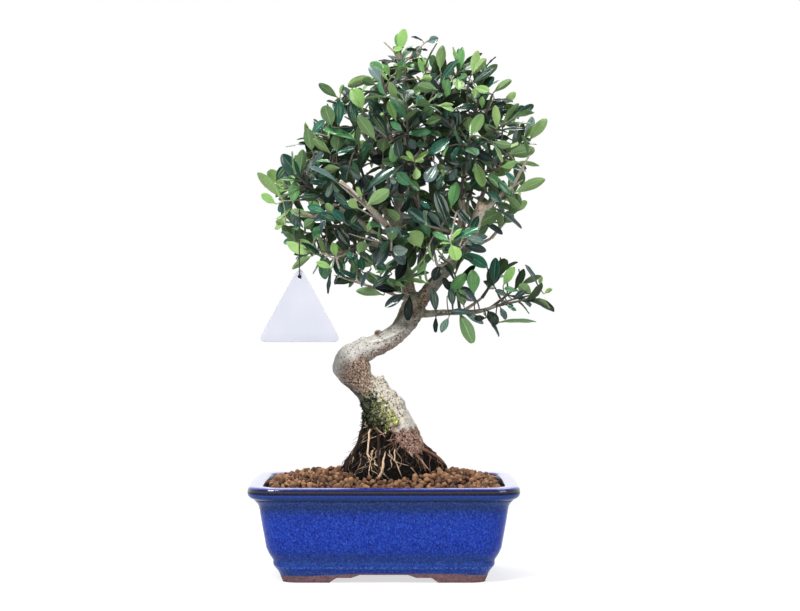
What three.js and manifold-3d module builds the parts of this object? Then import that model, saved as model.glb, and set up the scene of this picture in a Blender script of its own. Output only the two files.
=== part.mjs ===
// An olive bonsai in a glazed, footed, rectangular pot. Millimetres, +Z up, the pot's long side along X and
// its front facing -Y. Everything is laid out round the middle of the pot's footprint. At the end the whole
// is moved so that the origin lies under the middle of the plant's bounding box, on the ground.
//
// Pieces: the pot, two drain screens, the soil with its granules, the tree (trunk, limbs, roots and root
// ball, one piece of wood), its leafy shoots, and a blank hang tag on a thread.

import * as THREE from "three";
import { mergeVertices } from "three/addons/utils/BufferGeometryUtils.js";
import Module from "manifold-3d";

const wasm = await Module();
wasm.setup();

const up = new THREE.Vector3(0, 0, 1);
const vector = (x, y, z) => new THREE.Vector3(x, y, z);

// ---------------------------------------------------------------- driving dimensions

const gap = 0.3; // clearance between pieces that touch

const pot = {
  halfLength: 105,
  halfWidth: 80,
  corner: 14,
  // [height, distance in from the rim's outermost edge], from the feet up
  outside: [
    [0, 26], [7, 23], [12, 19.6], [21, 16.6], [30, 13.6], [42, 11.6], [60, 8.6],
    [65, 6.5], [69, 3.2], [71, 0.8], [73, 0], [75.5, 0.4], [76.5, 1.6],
  ],
  // the same for the inside, from the floor up, past the rim
  inside: [[17, 28], [24, 23.4], [60, 16.6], [76.5, 11.6], [110, 11.6]],
  foot: { height: 6.5, wall: 15, step: 4 },
  // half the width of the arch between two feet: on the ground, at both ends of its step, and at the top
  archFront: [43, 37.5, 25, 19.5],
  archSide: [24, 19.5, 12.5, 8],
  drain: { radius: 8, x: 45, sides: 12 },
};

const screen = { half: 13, thick: 1.2, bar: 3 };

const soil = {
  edge: 72.5, // height at the pot's wall
  heap: 12, // how much higher it lies round the trunk
  granule: 3.6, // how far one granule stands up
  spacing: 10.2,
  seed: 11,
};

const rootBall = {
  centre: [4.5, 0],
  squash: 0.88, // its depth along Y against its length along X
  // [height, radius along X]: buried part, then the mound of roots above the soil
  profile: [
    [34, 30], [68, 44], [79, 46.5], [90, 42], [98, 35], [108, 29], [119, 24], [131, 17.5], [138, 12],
  ],
  core: 1.5, // how far the mound's earthy core lies under its roots
  sides: 12,
};

// Roots that run down the mound from the trunk's foot and dive into the soil beside it.
const roots = {
  // [height, distance from the root ball's middle]
  line: [[136, 12], [121, 22.5], [105, 31], [90, 41], [76, 36]],
  count: 9,
  radius: [3.2, 1.8],
  sides: 3,
  seed: 5,
};

// The trunk's middle line: x, y, z and its radius there.
const trunk = {
  sides: 10,
  line: [
    [1, 2, 108, 19], [-0.5, 1, 128, 17], [-3, 0, 140, 15], [-12, -1, 152, 13], [-20, -2, 160.5, 13.2],
    [-25.8, -3, 166.5, 14], [-27, -3, 172.5, 13.9], [-21, -3, 180.5, 11.4], [-10, -2, 185.5, 9.6],
    [2, -1, 190.5, 8.4], [12, 0, 198, 8.2], [19, 1, 207.5, 9.4], [23.5, 2, 217, 10], [26, 2, 226, 7],
  ],
};

// Old pruning knobs on the trunk: where each starts, where it ends, and its radius at both.
const knobs = [
  { from: [-4, -2, 189], to: [-6.5, -6, 199], radius: [4.4, 3] },
  { from: [-10, -2, 156], to: [-1, -5, 167], radius: [5.5, 3.4] },
  { from: [-21, -3, 180], to: [-26, -4, 191], radius: [4, 1.8] },
  { from: [2, 0, 138], to: [15, -2, 143], radius: [6, 4] },
];

// Limbs: a line through given points, the radius at its first and last point, and how many leafy shoots
// stand along it. A pruned limb ends in a plain cut, and any other carries one more shoot at its tip.
const limbs = {
  leader: {
    line: [[25, 2, 215], [34, 3, 228], [42, 4, 238], [50, 4, 247], [58, 3, 256], [66, 2, 265], [71, 0, 275],
      [75, -4, 288], [79.5, -8, 302]],
    radius: [6.4, 4], shoots: 1, pruned: true,
  },
  stem: {
    line: [[24, 2, 215], [19.5, 3, 232], [16, 4, 246], [13, 5, 260], [10.5, 5, 275], [11, 4, 295],
      [14.5, 3, 322], [17.5, 2, 350], [17, 1, 375], [16.5, 0, 397]],
    radius: [6.4, 1.3], shoots: 3,
  },
  lowRight: {
    line: [[24, 2, 212], [37, 1, 211.5], [51, 0, 213], [72, -4, 213.5], [84, -7, 216], [92, -8, 218.5]],
    radius: [3.8, 1.2], shoots: 2,
  },
  lowRightUp: { line: [[64, -2, 213.5], [72, 4, 219], [80, 6, 225]], radius: [1.8, 1.2], shoots: 0 },
  lowLeft: {
    line: [[15, 4, 252], [5, -12, 262], [-13, -22, 268], [-30, -26, 258]],
    radius: [2.8, 1.3], shoots: 1,
  },
  fork: { line: [[21, 0, 222], [12, -13, 226], [-2, -24, 231]], radius: [2, 1.3], shoots: 0 },
  left: {
    line: [[12, 5, 262], [-3, 2, 273], [-22, -4, 287], [-40, -6, 299], [-55, -8, 306]],
    radius: [4, 1.3], shoots: 2,
  },
  leftHigh: {
    line: [[11, 5, 280], [-6, -2, 304], [-22, -6, 322], [-34, -8, 332]],
    radius: [3, 1.3], shoots: 2,
  },
  leftTop: {
    line: [[12, 4, 300], [0, -6, 330], [-12, -12, 350], [-20, -12, 362]],
    radius: [2.6, 1.3], shoots: 1,
  },
  leftBack: {
    line: [[-6, 1, 275], [-20, 22, 288], [-34, 44, 302], [-40, 56, 314]],
    radius: [2.4, 1.3], shoots: 2,
  },
  leftCut: {
    line: [[13, 5, 262], [6, -22, 278], [-4, -40, 289], [-35, -60, 316]],
    radius: [3, 2.4], shoots: 1, pruned: true,
  },
  tagTwig: {
    line: [[-22, -4, 287], [-44, -30, 289], [-67, -44, 292], [-72, -46, 295]],
    radius: [2.2, 1.3], shoots: 1,
  },
  leftLow: { line: [[-13, -22, 268], [-32, -12, 262], [-48, -8, 262]], radius: [1.8, 1.2], shoots: 0 },
  front: {
    line: [[11, 5, 286], [16, -22, 300], [20, -42, 316], [20, -48, 332]],
    radius: [2.6, 1.3], shoots: 1,
  },
  frontRight: {
    line: [[50, 4, 247], [56, -20, 266], [60, -38, 286], [60, -44, 304]],
    radius: [2.8, 1.3], shoots: 1,
  },
  frontTop: {
    line: [[14.5, 3, 322], [10, -18, 340], [5, -32, 356], [2, -36, 368]],
    radius: [2.2, 1.3], shoots: 1,
  },
  rightTwig: {
    line: [[68, 1, 268], [84.5, -6, 298], [94, -10, 308], [104, -12, 315]],
    radius: [2.6, 1.3], shoots: 0,
  },
  rightLow: { line: [[54, 4, 251], [70, 12, 264], [88, 16, 274]], radius: [2.4, 1.3], shoots: 1 },
  right: {
    line: [[60, 3, 258], [72, 12, 288], [82, 16, 314], [92, 14, 332]],
    radius: [3.2, 1.3], shoots: 2,
  },
  rightTop: {
    line: [[64, 6, 268], [64, 4, 304], [67, 2, 336], [70, 0, 358]],
    radius: [3, 1.3], shoots: 2,
  },
  rightBack: {
    line: [[53, 4, 250], [62, 26, 274], [69, 46, 296], [70, 56, 314]],
    radius: [2.8, 1.3], shoots: 2,
  },
  topRight: {
    line: [[16, 3, 335], [32, -2, 356], [44, -6, 372], [48, -6, 384]],
    radius: [2.2, 1.3], shoots: 1,
  },
  back: {
    line: [[11, 5, 282], [10, 30, 304], [8, 48, 326], [8, 56, 342]],
    radius: [2.8, 1.3], shoots: 2,
  },
  topBack: {
    line: [[15, 3, 326], [28, 24, 346], [38, 34, 362], [42, 36, 374]],
    radius: [2.2, 1.3], shoots: 1,
  },
  middle: { line: [[14.5, 3, 322], [28, -12, 330], [38, -22, 340]], radius: [2, 1.3], shoots: 1 },
  topLeftBack: { line: [[16, 2, 338], [2, 22, 356], [-10, 30, 372]], radius: [2, 1.3], shoots: 0 },
};

// The room that the leaves fill: how far the crown reaches from its middle, in even steps from +X round by
// the top, and how far forwards and back. The low branch bears a tuft of its own.
const crown = {
  centre: [15, 0, 330],
  reach: [
    100, 117, 113, 113, 109, 103, 112, 91, 81, 83, 84, 88,
    106, 117, 114, 111, 108, 104, 112, 100, 86, 82, 92, 104,
  ],
  depth: 98,
  full: 2.6, // over 2 the crown's corners are fuller than an ellipsoid's
  past: 0.03, // how far a leaf may stick out, as a share of the reach
};
const lowTuft = { centre: [80, -4, 222], reach: [58, 50, 44] };

const shoot = {
  length: [17, 50],
  spare: 13, // how much of the crown's depth is left past a shoot's tip for its last leaves
  radius: [1.4, 1],
  sides: 4,
  firstAt: 0.5, // where on its limb the first shoot stands, as a share of the limb
  lastAt: 0.86,
  turn: 137.5, // degrees round the limb from one shoot to the next
  pairs: 4,
  tries: 14,
};

const leaf = {
  length: [19, 27],
  width: 0.4, // of its length
  thick: 1.1,
  fold: 0.2, // how much its edges rise, of the half width
  curl: 0.1, // how much its tip drops, of its length
  stations: [0.34, 0.76], // where along it its blade is measured
  sunk: 0.6, // how deep its stalk starts under its shoot's bark
  tries: 8,
};

// How far apart the middles of sampled points stay, past their own radii.
const clearance = { between: 1.9, within: 0.5 };

const tag = { width: 67, height: 61, corner: 6, thick: 1, hole: 1.7, holeDrop: 9.5 };

// The thread hangs from the twig that bears it, at the third point of its line.
const thread = { radius: 0.45, at: limbs.tagTwig.line[2], twig: 2, drop: 50, bend: 1.9, sides: 8, knot: 2 };

// ---------------------------------------------------------------- solids

// A mesh of points and triangles, turned inside out if its faces point inwards.
function closed(points, faces) {
  const sixth = ([a, b, c]) => points[a].dot(vector().crossVectors(points[b], points[c]));
  const volume = faces.reduce((sum, face) => sum + sixth(face), 0);
  const outward = volume < 0 ? faces.map((face) => face.toReversed()) : faces;
  return new THREE.BufferGeometry().setFromPoints(points).setIndex(outward.flat());
}

// A closed mesh from rings of points, each ring either a whole outline or one point. End outlines are
// capped.
function loft(rings) {
  const points = rings.flat();
  const starts = rings.map((_, i) => rings.slice(0, i).reduce((n, r) => n + r.length, 0));
  const faces = [];
  for (let i = 1; i < rings.length; i++) {
    const [a, b] = [rings[i - 1].length, rings[i].length];
    const n = Math.max(a, b);
    for (let k = 0; k < n; k++) {
      const low = [starts[i - 1] + (k % a), starts[i - 1] + ((k + 1) % a)];
      const high = [starts[i] + (k % b), starts[i] + ((k + 1) % b)];
      if (a > 1) faces.push([low[0], low[1], high[1]]);
      if (b > 1) faces.push([low[0], high[1], high[0]]);
    }
  }
  const cap = (ring, start, flip) => {
    for (let k = 1; k < ring.length - 1; k++) {
      faces.push(flip ? [start, start + k + 1, start + k] : [start, start + k, start + k + 1]);
    }
  };
  cap(rings[0], starts[0], true);
  cap(rings.at(-1), starts.at(-1), false);
  return closed(points, faces);
}

// A block under a surface given row by row, down to a flat bottom.
function fieldSolid(rows, bottom) {
  const wide = rows[0].length;
  const points = rows.flat();
  const faces = [];
  for (let i = 1; i < rows.length; i++) {
    for (let k = 1; k < wide; k++) {
      const [a, b, c, d] = [(i - 1) * wide + k - 1, (i - 1) * wide + k, i * wide + k - 1, i * wide + k];
      if (i % 2) faces.push([a, b, d], [a, d, c]);
      else faces.push([a, b, c], [b, d, c]);
    }
  }
  const edge = [
    ...shares(wide - 1, 0, wide - 1),
    ...shares(rows.length - 2, 1, rows.length - 1).map((i) => i * wide + wide - 1),
    ...shares(wide - 2, wide - 2, 0).map((k) => (rows.length - 1) * wide + k),
    ...shares(rows.length - 3, rows.length - 2, 1).map((i) => i * wide),
  ];
  const start = points.length;
  edge.forEach((i) => points.push(points[i].clone().setZ(bottom)));
  points.push(vector(0, 0, bottom));
  edge.forEach((_, k) => {
    const next = (k + 1) % edge.length;
    faces.push([edge[k], start + k, edge[next]], [edge[next], start + k, start + next]);
    faces.push([start + k, start + edge.length, start + next]);
  });
  return solidOf(new THREE.BufferGeometry().setFromPoints(points).setIndex(faces.flat()));
}

function solidOf(geometry) {
  geometry.deleteAttribute("normal");
  geometry.deleteAttribute("uv");
  const merged = mergeVertices(geometry.index ? geometry : geometry.clone(), 1e-4);
  return new wasm.Manifold(new wasm.Mesh({
    numProp: 3,
    vertProperties: merged.attributes.position.array,
    triVerts: new Uint32Array(merged.index.array),
  }));
}

function meshOf(name, solid, material) {
  const made = solid.getMesh();
  const geometry = new THREE.BufferGeometry();
  const places = new Float32Array(made.numVert * 3);
  for (let i = 0; i < made.numVert; i++) {
    places.set(made.vertProperties.subarray(i * made.numProp, i * made.numProp + 3), i * 3);
  }
  geometry.setAttribute("position", new THREE.BufferAttribute(places, 3));
  geometry.setIndex(new THREE.BufferAttribute(made.triVerts, 1));
  geometry.computeVertexNormals();
  const mesh = new THREE.Mesh(geometry, material);
  mesh.name = name;
  return mesh;
}

const joined = (solids) => solids.slice(1).reduce((all, one) => all.add(one), solids[0]);

const merged = 0.02; // corners closer than this are made one

// The biggest body of a solid that a cut may have left with loose scraps.
const biggest = (solid) =>
  solid.decompose().reduce((best, one) => (one.volume() > best.volume() ? one : best));

const curveOf = (line) =>
  new THREE.CatmullRomCurve3(line.map(([x, y, z]) => vector(x, y, z)), false, "catmullrom", 0.5);

// A round tube along a curve. places are where along it its rings stand, stretch adds a little past each
// end, and first points to the first corner of its rings.
function tube(curve, places, radiusAt, sides, stretch = 0, first = null) {
  const start = curve.getTangent(places[0]);
  let across = first ?? (Math.abs(start.x) > 0.8 ? vector(0, 1, 0) : vector(1, 0, 0));
  const rings = places.map((share, i) => {
    const along = curve.getTangent(share);
    across = across.clone().addScaledVector(along, -across.dot(along)).normalize();
    const other = vector().crossVectors(along, across);
    const past = i === 0 ? -stretch : i === places.length - 1 ? stretch : 0;
    const middle = curve.getPoint(share).addScaledVector(along, past);
    return Array.from({ length: sides }, (_, k) => {
      const turn = (2 * Math.PI * k) / sides;
      const [x, y] = [radiusAt(share) * Math.cos(turn), radiusAt(share) * Math.sin(turn)];
      return middle.clone().addScaledVector(across, x).addScaledVector(other, y);
    });
  });
  return loft(rings);
}

// Evenly spaced numbers, both ends included.
const shares = (steps, from = 0, to = 1) =>
  Array.from({ length: steps + 1 }, (_, i) => from + ((to - from) * i) / steps);
const mix = (a, b, t) => a + (b - a) * t;

// A repeatable stream of numbers from 0 to 1.
function stream(seed) {
  let state = seed >>> 0;
  return () => {
    state = (state + 0x6d2b79f5) >>> 0;
    let t = Math.imul(state ^ (state >>> 15), 1 | state);
    t = (t + Math.imul(t ^ (t >>> 7), 61 | t)) ^ t;
    return ((t ^ (t >>> 14)) >>> 0) / 4294967296;
  };
}

// ---------------------------------------------------------------- pot

// A rectangle with round corners, set in from the rim's outermost edge.
function potRing(height, inset, cornerSteps = 4) {
  const radius = Math.max(pot.corner - 0.35 * inset, 6);
  const x = pot.halfLength - inset - radius;
  const y = pot.halfWidth - inset - radius;
  const ring = [];
  [[1, 1], [-1, 1], [-1, -1], [1, -1]].forEach(([sx, sy], corner) => {
    for (let k = 0; k <= cornerSteps; k++) {
      const turn = (Math.PI / 2) * (corner + k / cornerSteps);
      ring.push(vector(sx * x + radius * Math.cos(turn), sy * y + radius * Math.sin(turn), height));
    }
  });
  return ring;
}

const potInside = (shrink) =>
  solidOf(loft(pot.inside.map(([z, inset], i) => potRing(z + (i ? 0 : shrink), inset + shrink))));

function arch([ground, stepOut, stepIn, top], depth) {
  const { height, step } = pot.foot;
  const shape = new THREE.Shape([
    [-ground, -1], [-ground, 0], [-stepOut, step], [-stepIn, step], [-top, height],
    [top, height], [stepIn, step], [stepOut, step], [ground, 0], [ground, -1],
  ].map(([x, z]) => new THREE.Vector2(x, z)));
  return new THREE.ExtrudeGeometry(shape, { depth: 2 * depth, bevelEnabled: false })
    .translate(0, 0, -depth)
    .rotateX(Math.PI / 2);
}

function makePot() {
  const body = solidOf(loft(pot.outside.map(([z, inset]) => potRing(z, inset))));
  const { height, wall } = pot.foot;
  const footInset = pot.outside[0][1] + wall;
  const under = loft([-1, height].map((z) => potRing(z, footInset, 2)));
  const holes = [-1, 1].map((side) =>
    new THREE.CylinderGeometry(pot.drain.radius, pot.drain.radius, 40, pot.drain.sides)
      .rotateX(Math.PI / 2)
      .translate(side * pot.drain.x, 0, 0));
  const arches = [
    arch(pot.archFront, pot.halfWidth),
    arch(pot.archSide, pot.halfLength).rotateZ(Math.PI / 2),
  ];
  const cuts = [under, ...arches, ...holes];
  return cuts.reduce((left, cut) => left.subtract(solidOf(cut)), body.subtract(potInside(0)));
}

// A plastic mesh square over a drain hole, on the pot's floor.
function screenSolid(side, grow = 0) {
  const { half, thick, bar } = screen;
  const plate = (size, depth, x, y) =>
    solidOf(new THREE.BoxGeometry(size, size, depth)
      .translate(side * pot.drain.x + x, y, pot.inside[0][0] + gap + thick / 2));
  const whole = plate(2 * (half + grow), thick + 2 * grow, 0, 0);
  if (grow) return whole;
  const open = half - 1.5 * bar;
  const middle = (bar + open) / 2;
  return [[1, 1], [-1, 1], [-1, -1], [1, -1]].reduce(
    (left, [sx, sy]) => left.subtract(plate(open, 2 * thick, sx * middle, sy * middle)), whole);
}

// ---------------------------------------------------------------- soil

const soilHeight = (x, y) => {
  const [edgeX, edgeY] = [pot.halfLength - 12, pot.halfWidth - 12];
  const rise = (1 - Math.abs(x / edgeX) ** 4) * (1 - Math.abs(y / edgeY) ** 1.6);
  return soil.edge + soil.heap * Math.max(rise, 0);
};

const ballRing = (height, radius, grow = 0) =>
  Array.from({ length: rootBall.sides }, (_, k) => {
    const turn = (2 * Math.PI * k) / rootBall.sides;
    const [x, y] = rootBall.centre;
    const reach = radius + grow;
    return vector(x + reach * Math.cos(turn), y + reach * rootBall.squash * Math.sin(turn), height);
  });

// The hole that the root ball stands in, with room for the roots that stand out of its core.
function rootHole() {
  const [bottom, radius] = rootBall.profile[0];
  const rings = rootBall.profile.map(([z, reach]) => ballRing(z, reach, rootBall.core));
  return solidOf(loft([ballRing(bottom - gap, radius, rootBall.core), ...rings]));
}

// Granules as relief: on a grid of triangles one corner in three stands up, and the two round it lie in the
// cracks.
function makeSoil() {
  const random = stream(soil.seed);
  const step = soil.spacing / Math.sqrt(3);
  const deep = 0.866 * step;
  const columns = Math.ceil(pot.halfLength / step) + 1;
  const rows = Math.ceil(pot.halfWidth / deep) + 1;
  const rings = [];
  for (let row = -rows; row <= rows; row++) {
    const ring = [];
    for (let column = -columns; column <= columns; column++) {
      const stone = (((column - Math.ceil(row / 2)) % 3) + 3 + (row % 3) + 3) % 3 === 0;
      const jitter = [random() - 0.5, random() - 0.5].map((t) => 0.3 * step * t);
      const x = (column + (Math.abs(row) % 2) / 2) * step + jitter[0];
      const y = deep * row + jitter[1];
      const rise = stone ? 0.55 + 0.6 * random() : -0.25 * random();
      ring.push(vector(x, y, soilHeight(x, y) + rise * soil.granule));
    }
    rings.push(ring);
  }
  const filled = fieldSolid(rings, 10).intersect(potInside(gap)).subtract(rootHole());
  return biggest(filled.subtract(screenSolid(-1, gap)).subtract(screenSolid(1, gap)));
}

// ---------------------------------------------------------------- tree

const trunkRadius = (share) => {
  const at = share * (trunk.line.length - 1);
  const i = Math.min(Math.floor(at), trunk.line.length - 2);
  return mix(trunk.line[i][3], trunk.line[i + 1][3], at - i);
};

const limbRadius = (limb) => (share) => mix(limb.radius[0], limb.radius[1], share ** 0.8);

const limbSides = (limb) => Math.round(mix(3.2, 7, limb.radius[0] / 6.4));

function rootLines() {
  const random = stream(roots.seed);
  const [x0, y0] = rootBall.centre;
  return Array.from({ length: roots.count }, (_, i) => {
    let turn = ((i + 0.5 * (random() - 0.5)) * 2 * Math.PI) / roots.count;
    return roots.line.map(([z, radius]) => {
      turn += (random() - 0.5) * 0.14;
      return [x0 + radius * Math.cos(turn), y0 + radius * rootBall.squash * Math.sin(turn), z];
    });
  });
}

function treeSolids(grow) {
  const trunkCurve = curveOf(trunk.line.map(([x, y, z]) => [x, y, z]));
  const fat = (radiusAt, extra) => (share) => radiusAt(share) + extra;
  const trunkPlaces = shares(trunk.line.length - 1);
  const solids = [solidOf(tube(trunkCurve, trunkPlaces, fat(trunkRadius, grow), trunk.sides, grow))];
  for (const limb of Object.values(limbs)) {
    const [curve, places] = [curveOf(limb.line), shares(limb.line.length - 1)];
    solids.push(solidOf(tube(curve, places, fat(limbRadius(limb), grow), limbSides(limb), grow)));
  }
  if (grow) return solids;
  const ball = rootBall.profile.map(([z, radius], i) => ballRing(z, radius - (i > 2 ? rootBall.core : 0)));
  solids.push(solidOf(loft(ball)));
  for (const { from, to, radius } of knobs) {
    solids.push(solidOf(tube(curveOf([from, to]), [0, 1], (share) => mix(...radius, share), 6)));
  }
  const rootPlaces = shares(roots.line.length - 1);
  const rootRadius = (share) => mix(...roots.radius, share);
  for (const line of rootLines()) {
    solids.push(solidOf(tube(curveOf(line), rootPlaces, rootRadius, roots.sides)));
  }
  return solids;
}

// ---------------------------------------------------------------- leafy shoots

// The room that the tag takes, hanging in front of the crown.
function besideTag(point) {
  const [x, y, z] = thread.at;
  const across = Math.abs(point.x - x);
  const low = z - thread.drop + tag.holeDrop + 3;
  if (point.y > y + 6) return false;
  return point.z < low ? across < 0.5 * tag.width + 3 : across < 4 && point.z < z + 4;
}

// Points already taken, each with a radius and an owner, in cells for a quick search.
class Space {
  cells = new Map();
  size = 6;

  key(point) {
    return [point.x, point.y, point.z].map((v) => Math.floor(v / this.size));
  }

  add(point, radius, owner) {
    const name = this.key(point).join();
    if (!this.cells.has(name)) this.cells.set(name, []);
    this.cells.get(name).push({ point, radius, owner });
  }

  // Whether a point keeps its distance from all that is here, and from where the tag and its thread hang.
  clear(point, radius, owner) {
    if (besideTag(point)) return false;
    const [i, j, k] = this.key(point);
    for (let a = i - 1; a <= i + 1; a++) {
      for (let b = j - 1; b <= j + 1; b++) {
        for (let c = k - 1; c <= k + 1; c++) {
          for (const taken of this.cells.get([a, b, c].join()) ?? []) {
            const room = taken.owner === owner ? clearance.within : clearance.between;
            if (taken.point.distanceTo(point) < taken.radius + radius + room) return false;
          }
        }
      }
    }
    return true;
  }
}

// The middle line of a leaf: its stalk leaves the shoot at base, and its tip drops a little.
const leafPoint = ({ base, along, normal, length }, t) =>
  base.clone().addScaledVector(along, length * t).addScaledVector(normal, -leaf.curl * length * t * t);

// Half a leaf's width at a share of its length: narrow stalk, widest past the middle, blunt tip.
const leafHalf = ({ width }, t) =>
  0.5 * width * Math.sin(Math.PI * Math.min(Math.max(t, 0), 1) ** 1.25) ** 0.7;

function leafSamples(one) {
  const side = vector().crossVectors(one.along, one.normal);
  return [0.25, 0.4, 0.55, 0.7, 0.85, 0.98].flatMap((t) => {
    const middle = leafPoint(one, t);
    const half = 0.9 * leafHalf(one, t);
    const rise = leaf.fold * half;
    return [-1, 0, 1].map((s) =>
      middle.clone().addScaledVector(side, s * half).addScaledVector(one.normal, Math.abs(s) * rise));
  });
}

// A blade of six sides, a little keeled underneath, its edges higher than its middle.
function leafSolid(one) {
  const side = vector().crossVectors(one.along, one.normal);
  const edge = (t, s) => {
    const half = leafHalf(one, t);
    return leafPoint(one, t).addScaledVector(side, s * half).addScaledVector(one.normal, leaf.fold * half);
  };
  const [low, high] = leaf.stations;
  const keel = leafPoint(one, (low + high) / 2).addScaledVector(one.normal, -leaf.thick);
  const [stalk, tip] = [leafPoint(one, 0), leafPoint(one, 1)];
  const outline = [stalk, edge(low, 1), edge(high, 1), tip, edge(high, -1), edge(low, -1)];
  const top = [[5, 0, 1], [5, 1, 2], [5, 2, 4], [4, 2, 3]];
  const under = outline.map((_, k) => [k, 6, (k + 1) % 6]);
  return solidOf(closed([...outline, keel], [...top, ...under]));
}

const shootPoint = ({ base, tip }, t) => base.clone().lerp(tip, t);
const radiusAlong = (share) => mix(shoot.radius[0], shoot.radius[1], share);

// Two directions square to a line and to each other, the first one level.
function crossAxes(along) {
  const level = vector().crossVectors(along, up);
  if (level.length() < 0.15) level.crossVectors(along, vector(1, 0, 0));
  level.normalize();
  return [level, vector().crossVectors(level, along).normalize()];
}

// How deep a point lies in a tuft of leaves, from 1 at its middle to 0 at its outside and less past it.
function depthInCrown(point) {
  const [x, y, z] = [point.x - crown.centre[0], point.y, point.z - crown.centre[2]];
  const turn = (Math.atan2(z, x) / (2 * Math.PI) + 1) * crown.reach.length;
  const [first, second] = [0, 1].map((k) => crown.reach[(Math.floor(turn) + k) % crown.reach.length]);
  const [out, back] = [Math.hypot(x, z) / mix(first, second, turn % 1), Math.abs(y) / crown.depth];
  return 1 - (out ** crown.full + back ** crown.full) ** (1 / crown.full);
}

const depthInTuft = (point) =>
  1 - Math.hypot(...lowTuft.reach.map((reach, i) => (point.getComponent(i) - lowTuft.centre[i]) / reach));

const withinTufts = (point) => Math.max(depthInCrown(point), depthInTuft(point)) > -crown.past;

// The longest shoot from a point in a direction that stays in its tuft.
function roomFor(base, direction, depth) {
  const outside = (reach) => depth(base.clone().addScaledVector(direction, reach)) < 0;
  let length = shoot.length[1];
  while (length >= shoot.length[0] && outside(length + shoot.spare)) length -= 2;
  return length;
}

function placeShoot(limb, at, turn, random, space, owner) {
  const curve = curveOf(limb.line);
  const base = curve.getPoint(at);
  const along = curve.getTangent(at);
  const [level, steep] = crossAxes(along);
  const low = limb === limbs.lowRight || limb === limbs.lowRightUp;
  const depth = low ? depthInTuft : depthInCrown;
  const outward = vector().subVectors(base, vector(...(low ? lowTuft : crown).centre)).normalize();
  for (let attempt = 0; attempt < shoot.tries; attempt++) {
    const angle = turn + (random() - 0.5) * (0.5 + 0.5 * attempt);
    const radial = level.clone().multiplyScalar(Math.cos(angle)).addScaledVector(steep, Math.sin(angle));
    const direction = along.clone().multiplyScalar(at < 1 ? 0.45 : 1.6);
    direction.addScaledVector(radial, at < 1 ? 1 : 0.25 + 0.1 * attempt);
    direction.addScaledVector(outward, 0.55).addScaledVector(up, 0.3).normalize();
    const length = roomFor(base, direction, depth);
    if (length < shoot.length[0]) continue;
    const made = { base, along: direction, tip: base.clone().addScaledVector(direction, length) };
    const places = shares(12, 0.22, 1).map((t) => shootPoint(made, t));
    if (places.every((p) => space.clear(p, 2.4, owner))) {
      shares(16).forEach((t) => space.add(shootPoint(made, t), 1, owner));
      return made;
    }
  }
  return null;
}

function placeLeaves(made, random, space, owner) {
  const leaves = [];
  const { along } = made;
  const [level, steep] = crossAxes(along);
  for (let pair = 0; pair < shoot.pairs; pair++) {
    const far = pair / (shoot.pairs - 1);
    const share = mix(0.34, 0.97, far);
    for (const side of [0, Math.PI]) {
      for (let attempt = 0; attempt < leaf.tries; attempt++) {
        const wander = (random() - 0.5) * (0.3 + 0.25 * attempt);
        const turn = Math.PI / 4 + (pair * Math.PI) / 2 + side + wander;
        const lean = mix(1.05, 0.5, far) + (random() - 0.5) * 0.5;
        const length = mix(...leaf.length, random()) * (1 - 0.03 * attempt);
        const base = shootPoint(made, share);
        const outward = vector().subVectors(base, vector(...crown.centre)).normalize();
        const lateral = level.clone().multiplyScalar(Math.cos(turn)).addScaledVector(steep, Math.sin(turn));
        const direction = along.clone().multiplyScalar(Math.cos(lean));
        direction.addScaledVector(lateral, Math.sin(lean)).normalize();
        const facing = along.clone().multiplyScalar(Math.sin(lean));
        facing.addScaledVector(lateral, -Math.cos(lean));
        facing.addScaledVector(up, 0.7).addScaledVector(outward, 0.35);
        facing.addScaledVector(direction, -facing.dot(direction)).normalize();
        base.addScaledVector(lateral, Math.SQRT1_2 * radiusAlong(share) - leaf.sunk);
        const width = length * leaf.width * (0.88 + 0.24 * random());
        const one = { base, along: direction, normal: facing, length, width };
        const samples = leafSamples(one);
        if (withinTufts(leafPoint(one, 1)) && samples.every((p) => space.clear(p, 0.5, owner))) {
          samples.forEach((p) => space.add(p, 0.5, owner));
          leaves.push(one);
          break;
        }
      }
    }
  }
  return leaves;
}

function growShoots() {
  const space = new Space();
  const fill = (curve, radiusAt, owner, steps) =>
    shares(steps).forEach((share) => space.add(curve.getPoint(share), radiusAt(share), owner));
  fill(curveOf(trunk.line.map(([x, y, z]) => [x, y, z])), trunkRadius, "tree", 60);
  Object.values(limbs).forEach((limb) => fill(curveOf(limb.line), limbRadius(limb), "tree", 40));
  const shoots = [];
  Object.entries(limbs).forEach(([name, limb]) => {
    const lastAt = limb.pruned ? 0.8 : shoot.lastAt;
    const places = shares(Math.max(limb.shoots - 1, 1), shoot.firstAt, lastAt).slice(0, limb.shoots);
    if (!limb.pruned) places.push(1);
    places.forEach((at, i) => {
      const random = stream(1000 + 41 * shoots.length);
      const turn = (i * shoot.turn * Math.PI) / 180 + shoots.length;
      const owner = `shoot_${name}_${i + 1}`;
      const made = placeShoot(limb, at, turn, random, space, owner);
      shoots.push({ name: owner, made, random });
    });
  });
  shoots.filter(({ made }) => made).forEach((one) => {
    one.leaves = placeLeaves(one.made, one.random, space, one.name);
  });
  return shoots.filter(({ made }) => made);
}

function shootSolid({ made, leaves }, treeGrown) {
  const line = new THREE.LineCurve3(made.base, made.tip);
  const stem = solidOf(tube(line, [0, 1], radiusAlong, shoot.sides, 0, crossAxes(made.along)[0]));
  const leafy = joined([stem, ...leaves.map(leafSolid)]);
  const cut = treeGrown.reduce((left, wood) => left.subtract(wood), leafy);
  return biggest(cut.simplify(merged));
}

// ---------------------------------------------------------------- hang tag

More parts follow.
